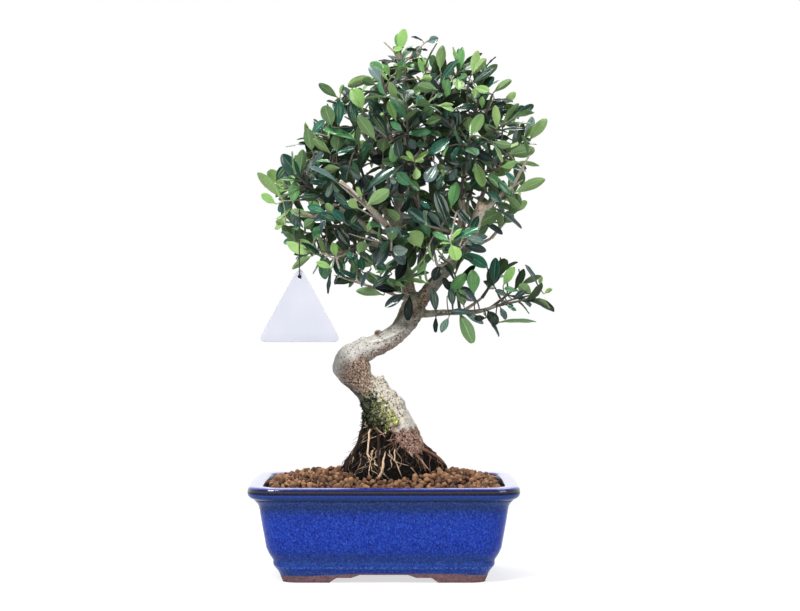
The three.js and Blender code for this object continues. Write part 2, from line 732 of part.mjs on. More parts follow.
function makeTag() {
  const [x, y, z] = thread.at;
  const { width, height, corner } = tag;
  const shape = new THREE.Shape();
  const corners = [[0, 0], [width / 2, -height], [-width / 2, -height]]
    .map(([a, b]) => new THREE.Vector2(a, b));
  corners.forEach((point, i) => {
    const toward = (k) => corners[(i + k) % 3].clone().sub(point).setLength(corner).add(point);
    const [start, end] = [toward(2), toward(1)];
    if (i === 0) shape.moveTo(start.x, start.y);
    else shape.lineTo(start.x, start.y);
    shape.quadraticCurveTo(point.x, point.y, end.x, end.y);
  });
  const hole = new THREE.Path();
  hole.absarc(0, -tag.holeDrop, tag.hole, 0, 2 * Math.PI);
  shape.holes.push(hole);
  const settings = { depth: tag.thick, bevelEnabled: false, curveSegments: 4 };
  const plate = new THREE.ExtrudeGeometry(shape, settings);
  const hang = tag.hole - thread.radius - gap; // the hole's upper edge hangs on the thread
  const top = z - thread.drop + tag.holeDrop - hang;
  return solidOf(plate.translate(0, 0, -tag.thick / 2).rotateX(Math.PI / 2).translate(x, y, top));
}

// The thread's line: once round the twig, down in front of the tag, and back through its hole to a knot.
function threadLine() {
  const [x, y, z] = thread.at;
  const round = thread.twig + gap + thread.radius;
  const { bend, drop } = thread;
  const arc = (middle, height, radius, from, to, count) =>
    shares(count, from, to)
      .map((turn) => [x, middle + radius * Math.cos(turn), height + radius * Math.sin(turn)]);
  const front = y - round;
  const low = z - drop;
  const end = y + tag.thick / 2 + gap;
  return [
    ...arc(y, z, round, -0.35 * Math.PI, Math.PI, 8),
    ...shares(6, z - 6, low + bend + 4).map((height) => [x, front, height]),
    ...arc(front + bend, low + bend, bend, Math.PI, 1.5 * Math.PI, 4),
    [x, end, low],
  ];
}

function makeThread() {
  const curve = curveOf(threadLine());
  const section = new THREE.Shape();
  shares(thread.sides, 0, 2 * Math.PI).slice(0, -1).forEach((turn, i) => {
    const corner = [thread.radius * Math.cos(turn), thread.radius * Math.sin(turn)];
    if (i === 0) section.moveTo(...corner);
    else section.lineTo(...corner);
  });
  const steps = Math.round(curve.getLength() / (5.6 * thread.radius));
  return solidOf(new THREE.ExtrudeGeometry(section, { steps, extrudePath: curve, bevelEnabled: false }));
}

function makeKnot() {
  const [x, y, z] = thread.at;
  const back = y + tag.thick / 2 + 2 * gap + thread.knot;
  return solidOf(new THREE.IcosahedronGeometry(thread.knot, 0).translate(x, back, z - thread.drop));
}

// ---------------------------------------------------------------- assembly

const material = (color, roughness) => new THREE.MeshStandardMaterial({ color, roughness });
const glaze = material(0x1b3aa8, 0.2);
const clay = material(0x8a5a36, 0.95);
const wood = material(0xa39684, 0.85);
const foliage = material(0x3f6b3a, 0.4);
const plastic = material(0xe9eaf2, 0.35);
const twine = material(0x2b2b30, 0.8);
const meshPlastic = material(0x1c1c1c, 0.6);

const plant = new THREE.Group();
plant.add(meshOf("pot", makePot(), glaze));
plant.add(meshOf("drain_screen_left", screenSolid(-1), meshPlastic));
plant.add(meshOf("drain_screen_right", screenSolid(1), meshPlastic));
plant.add(meshOf("soil", makeSoil(), clay));
plant.add(meshOf("tree", joined(treeSolids(0)), wood));
const treeGrown = treeSolids(1.15 * gap);
for (const one of growShoots()) plant.add(meshOf(one.name, shootSolid(one, treeGrown), foliage));

// The origin goes under the middle of the standing plant, which the hanging tag doesn't widen.
const box = new THREE.Box3().setFromObject(plant);
plant.position.set(-(box.min.x + box.max.x) / 2, -(box.min.y + box.max.y) / 2, -box.min.z);

plant.add(meshOf("thread", makeThread(), twine));
plant.add(meshOf("thread_knot", makeKnot(), twine));
plant.add(meshOf("tag", makeTag(), plastic));

export default plant;
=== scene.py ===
import math
import bmesh
import bpy
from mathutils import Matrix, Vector, noise
from mathutils.bvhtree import BVHTree
from mathutils.kdtree import KDTree


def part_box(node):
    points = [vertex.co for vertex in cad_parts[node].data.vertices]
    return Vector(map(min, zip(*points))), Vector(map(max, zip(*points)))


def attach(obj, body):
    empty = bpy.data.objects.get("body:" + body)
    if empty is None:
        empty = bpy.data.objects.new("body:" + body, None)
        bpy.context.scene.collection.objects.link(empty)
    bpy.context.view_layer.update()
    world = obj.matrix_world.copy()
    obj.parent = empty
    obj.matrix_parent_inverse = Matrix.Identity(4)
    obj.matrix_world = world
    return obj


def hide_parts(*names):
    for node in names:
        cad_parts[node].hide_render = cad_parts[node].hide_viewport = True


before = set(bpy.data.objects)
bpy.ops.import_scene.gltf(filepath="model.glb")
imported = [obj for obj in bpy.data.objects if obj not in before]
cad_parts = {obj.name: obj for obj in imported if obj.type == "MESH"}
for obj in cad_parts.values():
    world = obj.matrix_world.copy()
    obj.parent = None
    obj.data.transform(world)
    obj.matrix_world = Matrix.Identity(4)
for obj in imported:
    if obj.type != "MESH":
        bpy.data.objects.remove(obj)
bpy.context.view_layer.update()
potLow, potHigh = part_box("pot")
potMiddle = (potLow + potHigh) / 2

# shapes are laid out in millimetres round the middle of the pot's footprint


def place(point):  # where a point lies in the scene
    return Vector((point[0] / 1000 + potMiddle.x, point[1] / 1000 + potMiddle.y, point[2] / 1000))


def measured(spot):  # a point of the scene in those millimetres
    return ((spot.x - potMiddle.x) * 1000, (spot.y - potMiddle.y) * 1000, spot.z * 1000)


def plus(a, b, times=1.0):
    return (a[0] + b[0] * times, a[1] + b[1] * times, a[2] + b[2] * times)


def minus(a, b):
    return (a[0] - b[0], a[1] - b[1], a[2] - b[2])


def scaled(a, times):
    return (a[0] * times, a[1] * times, a[2] * times)


def dot(a, b):
    return a[0] * b[0] + a[1] * b[1] + a[2] * b[2]


def cross(a, b):
    return (a[1] * b[2] - a[2] * b[1], a[2] * b[0] - a[0] * b[2], a[0] * b[1] - a[1] * b[0])


def size(a):
    return math.sqrt(dot(a, a))


def unit(a):
    length = size(a) or 1.0
    return (a[0] / length, a[1] / length, a[2] / length)


def mix(a, b, t):
    return a + (b - a) * t


def toward(a, b, share):  # the place at a share of the way from a to b
    return plus(a, minus(b, a), share)


def bent(start, bend, end, t):  # a place on the bow from start to end that leans towards bend
    return plus(plus(scaled(start, (1 - t) ** 2), bend, 2 * t * (1 - t)), end, t * t)


def shares(steps, start=0.0, end=1.0):
    return [start + (end - start) * i / steps for i in range(steps + 1)]


def fade(value, low, high):  # 0 at low, 1 at high, smooth between
    t = min(max((value - low) / (high - low), 0.0), 1.0)
    return t * t * (3 - 2 * t)


def stream(seed):  # repeatable numbers from 0 to 1
    mask = 0xFFFFFFFF
    state = seed & mask

    def draw():
        nonlocal state
        state = (state + 0x6D2B79F5) & mask
        t = ((state ^ (state >> 15)) * (1 | state)) & mask
        t = ((t + (((t ^ (t >> 7)) * (61 | t)) & mask)) & mask) ^ t
        return (t ^ (t >> 14)) / 4294967296

    return draw


class Line:  # a smooth line through given points
    def __init__(self, points):
        self.points = [tuple(float(v) for v in p[:3]) for p in points]

    def at(self, t):
        points, count = self.points, len(self.points)
        i = int(math.floor((count - 1) * t))
        w = (count - 1) * t - i
        if w == 0 and i == count - 1:
            i, w = count - 2, 1.0
        before = points[i - 1] if i > 0 else minus(scaled(points[0], 2), points[1])
        after = points[i + 2] if i + 2 < count else minus(scaled(points[-1], 2), points[-2])
        out = []
        for x0, x1, x2, x3 in zip(before, points[i], points[i + 1], after):
            t0, t1 = 0.5 * (x2 - x0), 0.5 * (x3 - x1)
            second, third = -3 * x1 + 3 * x2 - 2 * t0 - t1, 2 * x1 - 2 * x2 + t0 + t1
            out.append(x1 + t0 * w + second * w * w + third * w ** 3)
        return tuple(out)

    def way(self, t):
        return unit(minus(self.at(min(t + 0.0001, 1)), self.at(max(t - 0.0001, 0))))

    def length(self, steps=200):
        spots = [self.at(t) for t in shares(steps)]
        return sum(size(minus(b, a)) for a, b in zip(spots, spots[1:]))


def added(name, data):  # a new object in the scene
    thing = bpy.data.objects.new(name, data)
    bpy.context.collection.objects.link(thing)
    return thing


view = {"from": (12.7, -1580, 218.5), "lens": 87.12, "sensor": 36, "pixels": (800, 611)}
camera = added("camera", bpy.data.cameras.new("camera"))
camera.location = place(view["from"])
camera.rotation_euler = (math.radians(90), 0, 0)
camera.data.lens = view["lens"]
camera.data.sensor_width = view["sensor"]
camera.data.sensor_fit = "HORIZONTAL"
camera.data.clip_end = 60
bpy.context.scene.camera = camera
print("camera set")


def linear(colour):  # red, green and blue from 0 to 255, as the shaders want them
    return tuple(v / 255 / 12.92 if v < 10.3 else ((v / 255 + 0.055) / 1.055) ** 2.4 for v in colour) + (1.0,)


class Wire:  # a shader socket that takes arithmetic
    def __init__(self, paint, socket):
        self.paint, self.socket = paint, socket

    def maths(self, operation, first, second=0.0):
        return self.paint.node("ShaderNodeMath", {"operation": operation}, [first, second])

    def __add__(self, other):
        return self.maths("ADD", self, other)

    def __radd__(self, other):
        return self.maths("ADD", other, self)

    def __sub__(self, other):
        return self.maths("SUBTRACT", self, other)

    def __rsub__(self, other):
        return self.maths("SUBTRACT", other, self)

    def __mul__(self, other):
        return self.maths("MULTIPLY", self, other)

    def __rmul__(self, other):
        return self.maths("MULTIPLY", other, self)

    def __truediv__(self, other):
        return self.maths("DIVIDE", self, other)

    def __abs__(self):
        return self.maths("ABSOLUTE", self)

    def fade(self, low, high):  # 0 below low, 1 above high, smooth between
        values = {"Value": self, "From Min": low, "From Max": high}
        return self.paint.node("ShaderNodeMapRange", {"interpolation_type": "SMOOTHSTEP"}, values)


class Paint:  # one material, made of nodes
    def __init__(self, name, **even):
        self.material = bpy.data.materials.new(name)
        self.material.use_nodes = True
        self.tree = self.material.node_tree
        self.tree.nodes.clear()
        self.shader = self.tree.nodes.new("ShaderNodeBsdfPrincipled")
        end = self.tree.nodes.new("ShaderNodeOutputMaterial")
        self.tree.links.new(self.shader.outputs[0], end.inputs[0])
        for socket, value in even.items():
            self.shader.inputs[socket.replace("_", " ")].default_value = value
        values = {"Vector": self.node("ShaderNodeTexCoord", {}, {}, "Object"), "Scale": 1000.0}
        self.spot = self.node("ShaderNodeVectorMath", {"operation": "SCALE"}, values)  # in mm

    def node(self, kind, settings, values, out=0):
        made = self.tree.nodes.new(kind)
        for name, value in settings.items():
            if name == "stops":
                stops = made.color_ramp.elements
                while len(stops) < len(value):
                    stops.new(0.5)
                for stop, (at, colour) in zip(stops, value):
                    stop.position, stop.color = at, colour
            else:
                setattr(made, name, value)
        pairs = values.items() if isinstance(values, dict) else enumerate(values)
        for socket, value in pairs:
            if isinstance(value, Wire):
                self.tree.links.new(value.socket, made.inputs[socket])
            else:
                made.inputs[socket].default_value = value
        return Wire(self, made.outputs[out])

    def mark(self, name):  # a number painted on the mesh
        return self.node("ShaderNodeAttribute", {"attribute_name": name}, {}, "Fac")

    def stretched(self, times, shift=(0.0, 0.0, 0.0)):
        settings = {"operation": "MULTIPLY_ADD"}
        return self.node("ShaderNodeVectorMath", settings, [self.spot, tuple(times), tuple(shift)])

    def cloud(self, grain, detail=3.0, rough=0.55, stretch=(1, 1, 1), shift=(0.0, 0.0, 0.0)):  # grain in mm
        where = self.stretched([s / grain for s in stretch], shift)
        values = {"Vector": where, "Scale": 1.0, "Detail": detail, "Roughness": rough}
        return self.node("ShaderNodeTexNoise", {}, values)

    def cells(self, grain, stretch=(1, 1, 1)):  # grain in mm
        where = self.stretched([s / grain for s in stretch])
        return self.node("ShaderNodeTexVoronoi", {}, {"Vector": where, "Scale": 1.0})

    def height(self):  # mm above the ground
        return self.node("ShaderNodeSeparateXYZ", {}, [self.spot], "Z")

    def blend(self, factor, first, second):  # of two wires or named colours
        first, second = (linear(one) if isinstance(one, tuple) else one for one in (first, second))
        return self.node("ShaderNodeMix", {"data_type": "RGBA"}, {0: factor, 6: first, 7: second}, 2)

    def colours(self, factor, *stops):  # share, colour
        return self.node("ShaderNodeValToRGB", {"stops": [(at, linear(c)) for at, c in stops]}, [factor])

    def set(self, **links):
        for socket, wire in links.items():
            self.tree.links.new(wire.socket, self.shader.inputs[socket.replace("_", " ")])

    def bump(self, height, far, strength=1.0):  # far in mm
        values = {"Height": height, "Distance": far / 1000, "Strength": strength}
        self.set(Normal=self.node("ShaderNodeBump", {}, values))


class Shape:  # points and faces of one piece, with numbers painted on its points and faces
    def __init__(self):
        self.points, self.faces, self.slots = [], [], []
        self.marks, self.faceMarks = {}, {}

    def add(self, points, faces, slot=0, marks=None, faceMarks=None):
        start, faceStart = len(self.points), len(self.faces)
        self.points += points
        self.faces += [tuple(start + i for i in face) for face in faces]
        self.slots += [slot] * len(faces)
        for store, given, count, begun in (
            (self.marks, marks, len(points), start),
            (self.faceMarks, faceMarks, len(faces), faceStart),
        ):
            for name, value in (given or {}).items():
                if name not in store:
                    store[name] = [0.0] * begun
                store[name] += value if isinstance(value, list) else [value] * count
            for values in store.values():
                values += [0.0] * (begun + count - len(values))

    def build(self, name, paints, slot, sharp=None):
        mesh = bpy.data.meshes.new(name)
        mesh.from_pydata([place(p) for p in self.points], [], self.faces)
        work = bmesh.new()
        work.from_mesh(mesh)
        bmesh.ops.recalc_face_normals(work, faces=work.faces)
        work.to_mesh(mesh)
        work.free()
        mesh.polygons.foreach_set("material_index", self.slots)
        for store, domain in ((self.marks, "POINT"), (self.faceMarks, "FACE")):
            for mark, values in store.items():
                mesh.attributes.new(mark, "FLOAT", domain).data.foreach_set("value", values)
        return dressed(mesh, name, paints, sharp)


def dressed(mesh, name, paints, sharp=None):
    mesh.shade_smooth()
    if sharp:
        mesh.set_sharp_from_angle(angle=math.radians(sharp))
    for paint in paints:
        mesh.materials.append(paint.material)
    piece = added(name, mesh)
    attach(piece, "root")
    return piece


def loft(rings, capped=True):  # rings of equal length, joined in order
    wide = len(rings[0])
    points = [p for ring in rings for p in ring]
    faces = []
    for i in range(len(rings) - 1):
        for k in range(wide):
            n = (k + 1) % wide
            faces.append((i * wide + k, i * wide + n, (i + 1) * wide + n, (i + 1) * wide + k))
    if capped:
        faces.append(tuple(reversed(range(wide))))
        faces.append(tuple(range((len(rings) - 1) * wide, len(rings) * wide)))
    return points, faces


def tube(spots, radii, sides):  # a round tube through spots
    across = (0, 1, 0) if abs(unit(minus(spots[1], spots[0]))[0]) > 0.8 else (1, 0, 0)
    rings = []
    for i, spot in enumerate(spots):
        along = unit(minus(spots[min(i + 1, len(spots) - 1)], spots[max(i - 1, 0)]))
        across = unit(plus(across, along, -dot(across, along)))
        other = cross(along, across)
        ring = []
        for k in range(sides):
            turn = 2 * math.pi * k / sides
            ring.append(plus(plus(spot, across, radii[i] * math.cos(turn)), other, radii[i] * math.sin(turn)))
        rings.append(ring)
    return loft(rings)


def evaluated(piece):  # the mesh that a piece has after its modifiers
    graph = bpy.context.evaluated_depsgraph_get()
    return bpy.data.meshes.new_from_object(piece.evaluated_get(graph))


def findable(spots):  # a tree that finds the nearest of many places
    tree = KDTree(len(spots))
    for i, spot in enumerate(spots):
        tree.insert(spot, i)
    tree.balance()
    return tree


def rough(point, grain, seed=0.0):  # noise from -1 to 1 at a place, grain in mm
    x, y, z = (v / grain for v in point)
    return noise.noise(Vector((x + seed, y - seed, z + 2 * seed)))


# the limbs, as the part has them: points in mm, radius at both ends, leafy shoots along it
limbs = {
    "leader": {
        "line": [(25, 2, 215), (34, 3, 228), (42, 4, 238), (50, 4, 247), (58, 3, 256), (66, 2, 265),
                 (71, 0, 275), (75, -4, 288), (79.5, -8, 302)],
        "radius": (6.4, 4), "shoots": 1, "pruned": True,
    },
    "stem": {
        "line": [(24, 2, 215), (19.5, 3, 232), (16, 4, 246), (13, 5, 260), (10.5, 5, 275), (11, 4, 295),
                 (14.5, 3, 322), (17.5, 2, 350), (17, 1, 375), (16.5, 0, 397)],
        "radius": (6.4, 1.3), "shoots": 3,
    },
    "lowRight": {
        "line": [(24, 2, 212), (37, 1, 211.5), (51, 0, 213), (72, -4, 213.5), (84, -7, 216), (92, -8, 218.5)],
        "radius": (3.8, 1.2), "shoots": 2,
    },
    "lowRightUp": {
        "line": [(64, -2, 213.5), (72, 4, 219), (80, 6, 225)],
        "radius": (1.8, 1.2), "shoots": 0,
    },
    "lowLeft": {
        "line": [(15, 4, 252), (5, -12, 262), (-13, -22, 268), (-30, -26, 258)],
        "radius": (2.8, 1.3), "shoots": 1,
    },
    "fork": {"line": [(21, 0, 222), (12, -13, 226), (-2, -24, 231)], "radius": (2, 1.3), "shoots": 0},
    "left": {
        "line": [(12, 5, 262), (-3, 2, 273), (-22, -4, 287), (-40, -6, 299), (-55, -8, 306)],
        "radius": (4, 1.3), "shoots": 2,
    },
    "leftHigh": {
        "line": [(11, 5, 280), (-6, -2, 304), (-22, -6, 322), (-34, -8, 332)],
        "radius": (3, 1.3), "shoots": 2,
    },
    "leftTop": {
        "line": [(12, 4, 300), (0, -6, 330), (-12, -12, 350), (-20, -12, 362)],
        "radius": (2.6, 1.3), "shoots": 1,
    },
    "leftBack": {
        "line": [(-6, 1, 275), (-20, 22, 288), (-34, 44, 302), (-40, 56, 314)],
        "radius": (2.4, 1.3), "shoots": 2,
    },
    "leftCut": {
        "line": [(13, 5, 262), (6, -22, 278), (-4, -40, 289), (-35, -60, 316)],
        "radius": (3, 2.4), "shoots": 1, "pruned": True,
    },
    "tagTwig": {
        "line": [(-22, -4, 287), (-44, -30, 289), (-67, -44, 292), (-72, -46, 295)],
        "radius": (2.2, 1.3), "shoots": 1,
    },
    "leftLow": {
        "line": [(-13, -22, 268), (-32, -12, 262), (-48, -8, 262)],
        "radius": (1.8, 1.2), "shoots": 0,
    },
    "front": {
        "line": [(11, 5, 286), (16, -22, 300), (20, -42, 316), (20, -48, 332)],
        "radius": (2.6, 1.3), "shoots": 1,
    },
    "frontRight": {
        "line": [(50, 4, 247), (56, -20, 266), (60, -38, 286), (60, -44, 304)],
        "radius": (2.8, 1.3), "shoots": 1,
    },
    "frontTop": {
        "line": [(14.5, 3, 322), (10, -18, 340), (5, -32, 356), (2, -36, 368)],
        "radius": (2.2, 1.3), "shoots": 1,
    },
    "rightTwig": {
        "line": [(68, 1, 268), (84.5, -6, 298), (94, -10, 308), (104, -12, 315)],
        "radius": (2.6, 1.3), "shoots": 0,
    },
    "rightLow": {"line": [(54, 4, 251), (70, 12, 264), (88, 16, 274)], "radius": (2.4, 1.3), "shoots": 1},
    "right": {
        "line": [(60, 3, 258), (72, 12, 288), (82, 16, 314), (92, 14, 332)],
        "radius": (3.2, 1.3), "shoots": 2,
    },
    "rightTop": {
        "line": [(64, 6, 268), (64, 4, 304), (67, 2, 336), (70, 0, 358)],
        "radius": (3, 1.3), "shoots": 2,
    },
    "rightBack": {
        "line": [(53, 4, 250), (62, 26, 274), (69, 46, 296), (70, 56, 314)],
        "radius": (2.8, 1.3), "shoots": 2,
    },
    "topRight": {
        "line": [(16, 3, 335), (32, -2, 356), (44, -6, 372), (48, -6, 384)],
        "radius": (2.2, 1.3), "shoots": 1,
    },
    "back": {
        "line": [(11, 5, 282), (10, 30, 304), (8, 48, 326), (8, 56, 342)],
        "radius": (2.8, 1.3), "shoots": 2,
    },
    "topBack": {
        "line": [(15, 3, 326), (28, 24, 346), (38, 34, 362), (42, 36, 374)],
        "radius": (2.2, 1.3), "shoots": 1,
    },
    "middle": {"line": [(14.5, 3, 322), (28, -12, 330), (38, -22, 340)], "radius": (2, 1.3), "shoots": 1},
    "topLeftBack": {"line": [(16, 2, 338), (2, 22, 356), (-10, 30, 372)], "radius": (2, 1.3), "shoots": 0},
}
for limb in limbs.values():
    limb["curve"] = Line(limb["line"])


def limbRadius(limb, share):
    return mix(*limb["radius"], share ** 0.8)


# the thread goes round its twig, down in front of the tag and back through the hole to a knot
thread = {
    "radius": 0.45, "at": limbs["tagTwig"]["line"][2], "twig": 2, "gap": 0.3, "drop": 50, "bend": 1.9,
    "knot": 2, "cord": 0.62, "tail": 6,  # radius of the knot and of its drawn cord, points of the loose end
    "dark": (28, 28, 32), "light": (74, 74, 82), "ply": 1.1,  # twist's length in mm
}
tag = {
    "width": 67, "height": 61, "corner": 7.4, "thick": 1, "hole": 1.7, "holeDrop": 9.5,
    "edge": 0.22, "bow": 0.35,  # how round its edge is and how far its sides bend back
    "white": (197, 199, 208), "shade": (189, 191, 202),
}


def threadRoute():
    x, y, z = thread["at"]
    turnRadius = thread["twig"] + thread["gap"] + thread["radius"]
    bend = thread["bend"]
    low = z - thread["drop"]
    front = y - turnRadius

    def arc(middle, height, radius, start, end, count):
        turns = shares(count, start, end)
        return [(x, middle + radius * math.cos(t), height + radius * math.sin(t)) for t in turns]

    route = arc(y, z, turnRadius, -0.35 * math.pi, math.pi, 8)
    route += [(x, front, h) for h in shares(6, z - 6, low + bend + 4)]
    route += arc(front + bend, low + bend, bend, math.pi, 1.5 * math.pi, 4)
    return route + [(x, y + tag["thick"] / 2 + thread["gap"], low)]


def paintTwine():
    paint = Paint("twine", Roughness=0.75)
    wave = paint.node("ShaderNodeTexWave", {"wave_type": "BANDS", "bands_direction": "DIAGONAL"},
                      {"Vector": paint.spot, "Scale": 1 / thread["ply"], "Distortion": 0.4})
    paint.set(Base_Color=paint.colours(wave, (0.0, thread["dark"]), (1.0, thread["light"])))
    paint.bump(wave, 0.12)
    return paint


def makeThread():
    curve = Line(threadRoute())
    steps = 90
    spots = [curve.at(t) for t in shares(steps)]
    data = bpy.data.curves.new("thread_line", "CURVE")
    data.dimensions = "3D"
    data.bevel_depth = thread["radius"] / 1000
    data.bevel_resolution = 3
    data.use_fill_caps = True
    spline = data.splines.new("POLY")
    spline.points.add(len(spots) - 1)
    for point, spot in zip(spline.points, spots):
        point.co = (*place(spot), 1.0)
    data.materials.append(twine.material)
    piece = added("thread_line", data)
    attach(piece, "root")
    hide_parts("thread")
    return piece, spots


def makeKnot():  # three turns of thread drawn tight
    x, y, z = thread["at"]
    middle = (x, y + tag["thick"] / 2 + 2 * thread["gap"] + thread["knot"], z - thread["drop"])
    knot = Shape()
    reach = thread["knot"] - 1.15
    spots = []
    for t in shares(64):
        turn = 2 * math.pi * t
        ring = reach + 0.5 * math.cos(3 * turn)
        off = (ring * math.cos(2 * turn), 0.75 * math.sin(3 * turn), ring * math.sin(2 * turn))
        spots.append(plus(middle, off))
    knot.add(*tube(spots, [thread["cord"]] * len(spots), 8))
    tail = [plus(middle, (0.4 + 0.2 * i, 0.2 * i, -1.0 - 0.75 * i)) for i in range(thread["tail"])]
    knot.add(*tube(tail, [thread["radius"]] * len(tail), 8))
    piece = knot.build("knot_turns", [twine], "twine")
    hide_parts("thread_knot")
    return piece


def paintTag():
    paint = Paint("tagPlastic", Roughness=0.22, Specular_IOR_Level=0.5, Coat_Roughness=0.08)
    cloud = paint.cloud(26, 2)
    paint.set(Base_Color=paint.colours(cloud, (0.3, tag["white"]), (0.75, tag["shade"])))
    paint.set(Roughness=0.2 + 0.1 * paint.cloud(3, 4))
    paint.bump(paint.cloud(9, 2), 0.1, 0.5)
    return paint


def tagOutline():  # a rounded triangle under its top corner
    corners = [(0, 0), (tag["width"] / 2, -tag["height"]), (-tag["width"] / 2, -tag["height"])]
    outline = []
    for i, (a, b) in enumerate(corners):
        before, after = corners[i - 1], corners[(i + 1) % 3]
        ends = []
        for c, d in (before, after):
            reach = math.dist((a, b), (c, d))
            ends.append((a + (c - a) * tag["corner"] / reach, b + (d - b) * tag["corner"] / reach, 0))
        outline += [bent(ends[0], (a, b, 0), ends[1], t)[:2] for t in shares(8)]
    side = []
    for i, spot in enumerate(outline):  # the straight sides get points too
        after = outline[(i + 1) % len(outline)]
        count = max(1, int(math.dist(spot, after) / 3.4))
        side += [(mix(spot[0], after[0], k / count), mix(spot[1], after[1], k / count)) for k in range(count)]
    return side


def makeTag():  # a bare plate, rounded at its edges, with an eyelet hole
    x, y, z = thread["at"]
    top = z - thread["drop"] + tag["holeDrop"] - (tag["hole"] - thread["radius"] - thread["gap"])
    side, centre = tagOutline(), (0, -tag["holeDrop"])

    def bow(a):  # how far the plate bends back, so far from its middle
        return tag["bow"] * ((2 * a / tag["width"]) ** 2) * 0.5

    def ring(share, inset):  # between the hole's edge, at 0, and the outline, at 1
        out = []
        for a, b in side:
            turn = math.atan2(b - centre[1], a - centre[0])
            hole = (tag["hole"] * math.cos(turn), centre[1] + tag["hole"] * math.sin(turn))
            reach = math.dist((a, b), centre)
            pulled = (a - (a - centre[0]) / reach * inset, b - (b - centre[1]) / reach * inset)
            out.append((mix(hole[0], pulled[0], share), mix(hole[1], pulled[1], share)))
        return out

    half, edge = tag["thick"] / 2, tag["edge"]
    face = (0.012, 0.03, 0.15, 0.35, 0.6, 0.85)
    # share, inset and depth of each band: the front, the outer edge, the back and the hole's edge
    steps = [(s, 0, half) for s in face]
    steps += [(1, edge * 2, half), (1, edge * 0.6, half - edge * 0.4), (1, 0, half - edge)]
    steps += [(1, 0, edge - half), (1, edge * 0.6, edge * 0.4 - half), (1, edge * 2, -half)]
    steps += [(s, 0, -half) for s in reversed(face)] + [(0, 0, edge - half), (0, 0, half - edge)]
    bands = []
    for share, inset, depth in steps:
        bands.append([(x + a, y - depth - bow(a), top + b) for a, b in ring(share, inset)])
    plate = Shape()
    points, faces = loft(bands + [bands[0]], capped=False)
    wide = len(bands[0])
    last = len(bands) * wide
    plate.add(points[:last], [tuple(i % last for i in face) for face in faces])
    piece = plate.build("tag_plate", [tagPlastic], "tag_plastic", sharp=50)
    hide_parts("tag")
    return piece


twine = paintTwine()
tagPlastic = paintTag()
threadPiece, threadSpots = makeThread()
threadLength = sum(size(minus(b, a)) for a, b in zip(threadSpots, threadSpots[1:])) / 1000
tuple(place(threadSpots[0]))
2 * thread["radius"] / 1000
makeKnot()
makeTag()
print("thread and tag hung")


pot = {
    "halfLength": 106.2, "halfWidth": 80.6, "corner": 21, "cornerSteps": 14, "bow": 2.2,
    # height and distance in from the rim's outermost edge, from the feet up
    "outside": [
        (0.5, 27.2), (1.2, 26.6), (4, 25.5), (7, 24.3), (9.3, 23), (11.5, 21.2), (13.4, 19.9), (15.5, 19.5),
        (17.1, 19.7), (18.7, 18.9), (21, 17.4), (23.4, 16.1), (28, 14.2), (33, 13.4), (42, 11.8), (51, 10.3),
        (57, 9.4), (60.5, 8.7), (62.4, 7.8), (64, 6.5), (65.3, 5.3), (66, 5), (66.5, 4), (67.3, 2.5),
        (68.3, 1.3), (69.6, 0.5), (71.2, 0.05), (73.5, 0), (75, 0.3), (76, 1.1), (76.5, 2.4),
    ],
    "inside": [
        (76.5, 10.3), (76.3, 11.2), (75.7, 11.8), (74, 12.3), (60, 16.6), (42, 20), (24, 23.4), (19, 25),
        (17, 28),
    ],
    "footWall": 15, "footHeight": 6.5, "footStep": 4,
    "archFront": (43, 37.5, 25, 19.5), "archSide": (24, 19.5, 12.5, 8),
    "drain": 8, "drainAt": 45,
    # the glaze's colour at a height; the near-black stops at 71.5 and 72.4, under the rim's outer edge, and
    # the dark stop at 66, under the lip's step, are painted shade
    "bands": [(7, (34, 60, 116)), (9, (22, 54, 134)), (11, (16, 42, 132)), (13.5, (28, 58, 134)),
              (17, (24, 50, 122)), (24, (16, 46, 138)), (34, (10, 44, 144)), (46, (12, 46, 146)),
              (54, (16, 46, 138)), (60, (22, 46, 114)), (65, (40, 60, 110)), (66, (16, 28, 64)),
              (67, (32, 52, 98)), (69.4, (36, 58, 112)), (70.6, (38, 66, 152)), (71.5, (4, 8, 44)),
              (72.4, (2, 3, 20)), (73.6, (66, 60, 60)), (74.7, (14, 14, 34)), (75.6, (30, 42, 136))],
    "bandsHigh": 80,  # the height that the bands are measured against
    "deepBlue": (4, 18, 92), "paleBlue": (84, 134, 226), "slate": (40, 66, 104),
    "clay": (134, 106, 110), "darkClay": (96, 72, 80), "screen": (14, 14, 15), "screenPale": (40, 40, 42),
}


def potRing(height, inset):
    radius = max(pot["corner"] - 0.35 * inset, 6)
    x, y = pot["halfLength"] - inset - radius, pot["halfWidth"] - inset - radius
    steps = pot["cornerSteps"]
    ring = []
    for corner, (sx, sy) in enumerate(((1, 1), (-1, 1), (-1, -1), (1, -1))):
        for k in range(steps + 1):
            turn = math.pi / 2 * (corner + k / steps)
            ring.append((sx * x + radius * math.cos(turn), sy * y + radius * math.sin(turn), height))
    full = []
    for i, spot in enumerate(ring):  # the straight walls get points too
        after = ring[(i + 1) % len(ring)]
        count = 1 if (i + 1) % (steps + 1) else 12
        full += [toward(spot, after, k / count) for k in range(count)]
    bowed = []
    for x, y, z in full:
        outX = 1 + pot["bow"] / pot["halfLength"] * (1 - (y / pot["halfWidth"]) ** 2)
        outY = 1 + 0.6 * pot["bow"] / pot["halfWidth"] * (1 - (x / pot["halfLength"]) ** 2)
        bowed.append((x * outX, y * outY, z))
    return bowed


